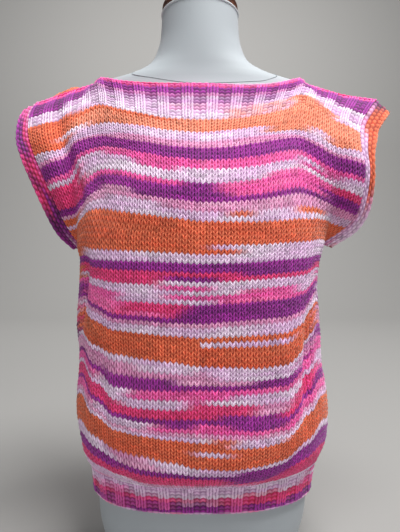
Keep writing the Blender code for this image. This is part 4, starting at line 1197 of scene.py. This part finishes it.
def yarn_material(name):
    """Wool: the stitch's colour, with painted shade between the strands, and fibres along each strand."""
    material, tree, shader = new_material(name, 0.92)
    colour = add_node(tree, "Attribute", "Color", {}, attribute_name="yarn")
    # Painted shade: where the relief attribute is low, between the strands, the colour is mixed towards its
    # own square times 0.6, a darker and deeper copy of it.
    depth = add_node(tree, "Attribute", "Fac", {}, attribute_name="relief")
    squared = add_node(tree, "VectorMath", "Vector", {0: colour, 1: colour}, operation="MULTIPLY")
    shade = add_node(tree, "MapRange", "Result", {"Value": depth, "From Min": 0.0, "From Max": 0.72},
                     interpolation_type="SMOOTHSTEP")
    shaded = add_node(tree, "Mix", "Result", {"Factor": shade, "A": scaled(tree, squared, 0.6), "B": colour},
                      data_type="RGBA")
    fibres = noise(tree, "UV", (5.0, 22.0, 1.0), 1.0, 3.0)
    mottle = add_node(tree, "MapRange", "Result", {"Value": fibres, "From Min": 0.3, "From Max": 0.7,
                                                   "To Min": 0.84, "To Max": 1.12})
    look = {"Base Color": scaled(tree, shaded, mottle), "Sheen Weight": 0.25, "Sheen Roughness": 0.5}
    finish_material(tree, shader, look, fibres, 0.5, 0.0005)
    return material


def inside_material():
    """The purl side of the knitting: the same yarn darkened to three quarters as painted shade, with a ridge
    to each course.
    """
    material, tree, shader = new_material("yarn_inside", 0.95)
    colour = add_node(tree, "Attribute", "Color", {}, attribute_name="yarn")
    place = add_node(tree, "TexCoord", "UV", {})
    ridges = add_node(tree, "TexWave", "Fac", {"Vector": place, "Scale": INSIDE_RIDGES, "Distortion": 1.2},
                      bands_direction="Y")
    # Painted shade: the yarn's colour at three quarters of its brightness on the inside.
    finish_material(tree, shader, {"Base Color": scaled(tree, colour, 0.75)}, ridges, 0.8, 0.0012)
    return material


def cloth_material(name, code, scale):
    """The form's tight cover: a fine even weave."""
    material, tree, shader = new_material(name, 0.7)
    look = {"Base Color": (*linear(code), 1.0), "Sheen Weight": 0.15}
    finish_material(tree, shader, look, noise(tree, "Object", None, scale, 4.0), 0.12, 0.0004)
    return material


def wood_material():
    """Stained wood with a fine grain across the cap."""
    material, tree, shader = new_material("cap_wood_grain", 0.42)
    grain = noise(tree, "Object", (9.0, 120.0, 120.0), 1.0, 6.0)
    ramp = tree.nodes.new("ShaderNodeValToRGB")
    for stop, place, code in zip(ramp.color_ramp.elements, (0.35, 0.7), ("3A1D12", "7A4630")):
        stop.position = place
        stop.color = (*linear(code), 1.0)
    fill(tree, ramp, {"Fac": grain})
    finish_material(tree, shader, {"Base Color": ramp.outputs["Color"]}, grain, 0.15, 0.0003)
    return material


def plain_material(name, code, roughness):
    """One colour."""
    material, _, shader = new_material(name, roughness)
    shader.inputs["Base Color"].default_value = (*linear(code), 1.0)
    return material


def build_studio():
    """A pale sweep behind and under the form, soft lights and even surrounding light."""
    start = SWEEP_BACK - SWEEP_ROUND
    outline = [(-SWEEP_REACH, 0.0), (start, 0.0)]
    for step in range(1, SWEEP_STEPS + 1):
        angle = math.pi / 2 * step / SWEEP_STEPS
        outline.append((start + SWEEP_ROUND * math.sin(angle), SWEEP_ROUND * (1 - math.cos(angle))))
    outline.append((SWEEP_BACK, SWEEP_REACH))
    points = np.array([[(x, y, z) for y, z in outline] for x in (-SWEEP_REACH, SWEEP_REACH)])
    sweep = grid_object("sweep", points, plain_material("sweep_paper", SWEEP_COLOUR, 0.95), flip=True)
    for name, place, aim, size, power in LIGHTS:
        lamp = bpy.data.lights.new(name, "AREA")
        lamp.shape = "RECTANGLE"
        lamp.size = size[0]
        lamp.size_y = size[1]
        lamp.energy = power
        lamp.color = LIGHT_COLOUR
        light = bpy.data.objects.new(name, lamp)
        light.location = place
        towards = mathutils.Vector(aim) - mathutils.Vector(place)
        light.rotation_euler = towards.to_track_quat("-Z", "Y").to_euler()
        bpy.context.scene.collection.objects.link(light)
    world = bpy.data.worlds.new("room")
    world.use_nodes = True
    background = world.node_tree.nodes["Background"]
    background.inputs["Color"].default_value = (*ROOM_COLOUR, 1.0)
    background.inputs["Strength"].default_value = ROOM_STRENGTH
    bpy.context.scene.world = world
    bpy.context.scene.view_settings.view_transform = "Standard"


def build_camera():
    """The photo's camera."""
    lens = bpy.data.cameras.new("camera")
    lens.sensor_fit = "HORIZONTAL"
    lens.sensor_width = SENSOR_WIDTH
    lens.lens = FOCAL_LENGTH
    lens.clip_start = CAMERA_NEAR
    lens.dof.use_dof = False
    camera = bpy.data.objects.new("camera", lens)
    camera.location = CAMERA_PLACE
    camera.rotation_euler = (math.pi / 2, 0.0, 0.0)
    bpy.context.scene.collection.objects.link(camera)
    bpy.context.scene.camera = camera


def main():
    """The whole scene."""
    materials = {
        "yarn": yarn_material("yarn"),
        "inside": inside_material(),
        "form": cloth_material("form_cover", "A6ADB2", 900.0),
        "cord": cloth_material("form_cord", "C4CACE", 1400.0),
        "seam": plain_material("seam_thread", "8A9296", 0.9),
        "wood": wood_material(),
    }
    surface = garment()
    build_faces(surface, materials)
    build_band("left", -1, surface, materials)
    build_band("right", 1, surface, materials)
    build_form(materials)
    build_studio()
    build_camera()


main()
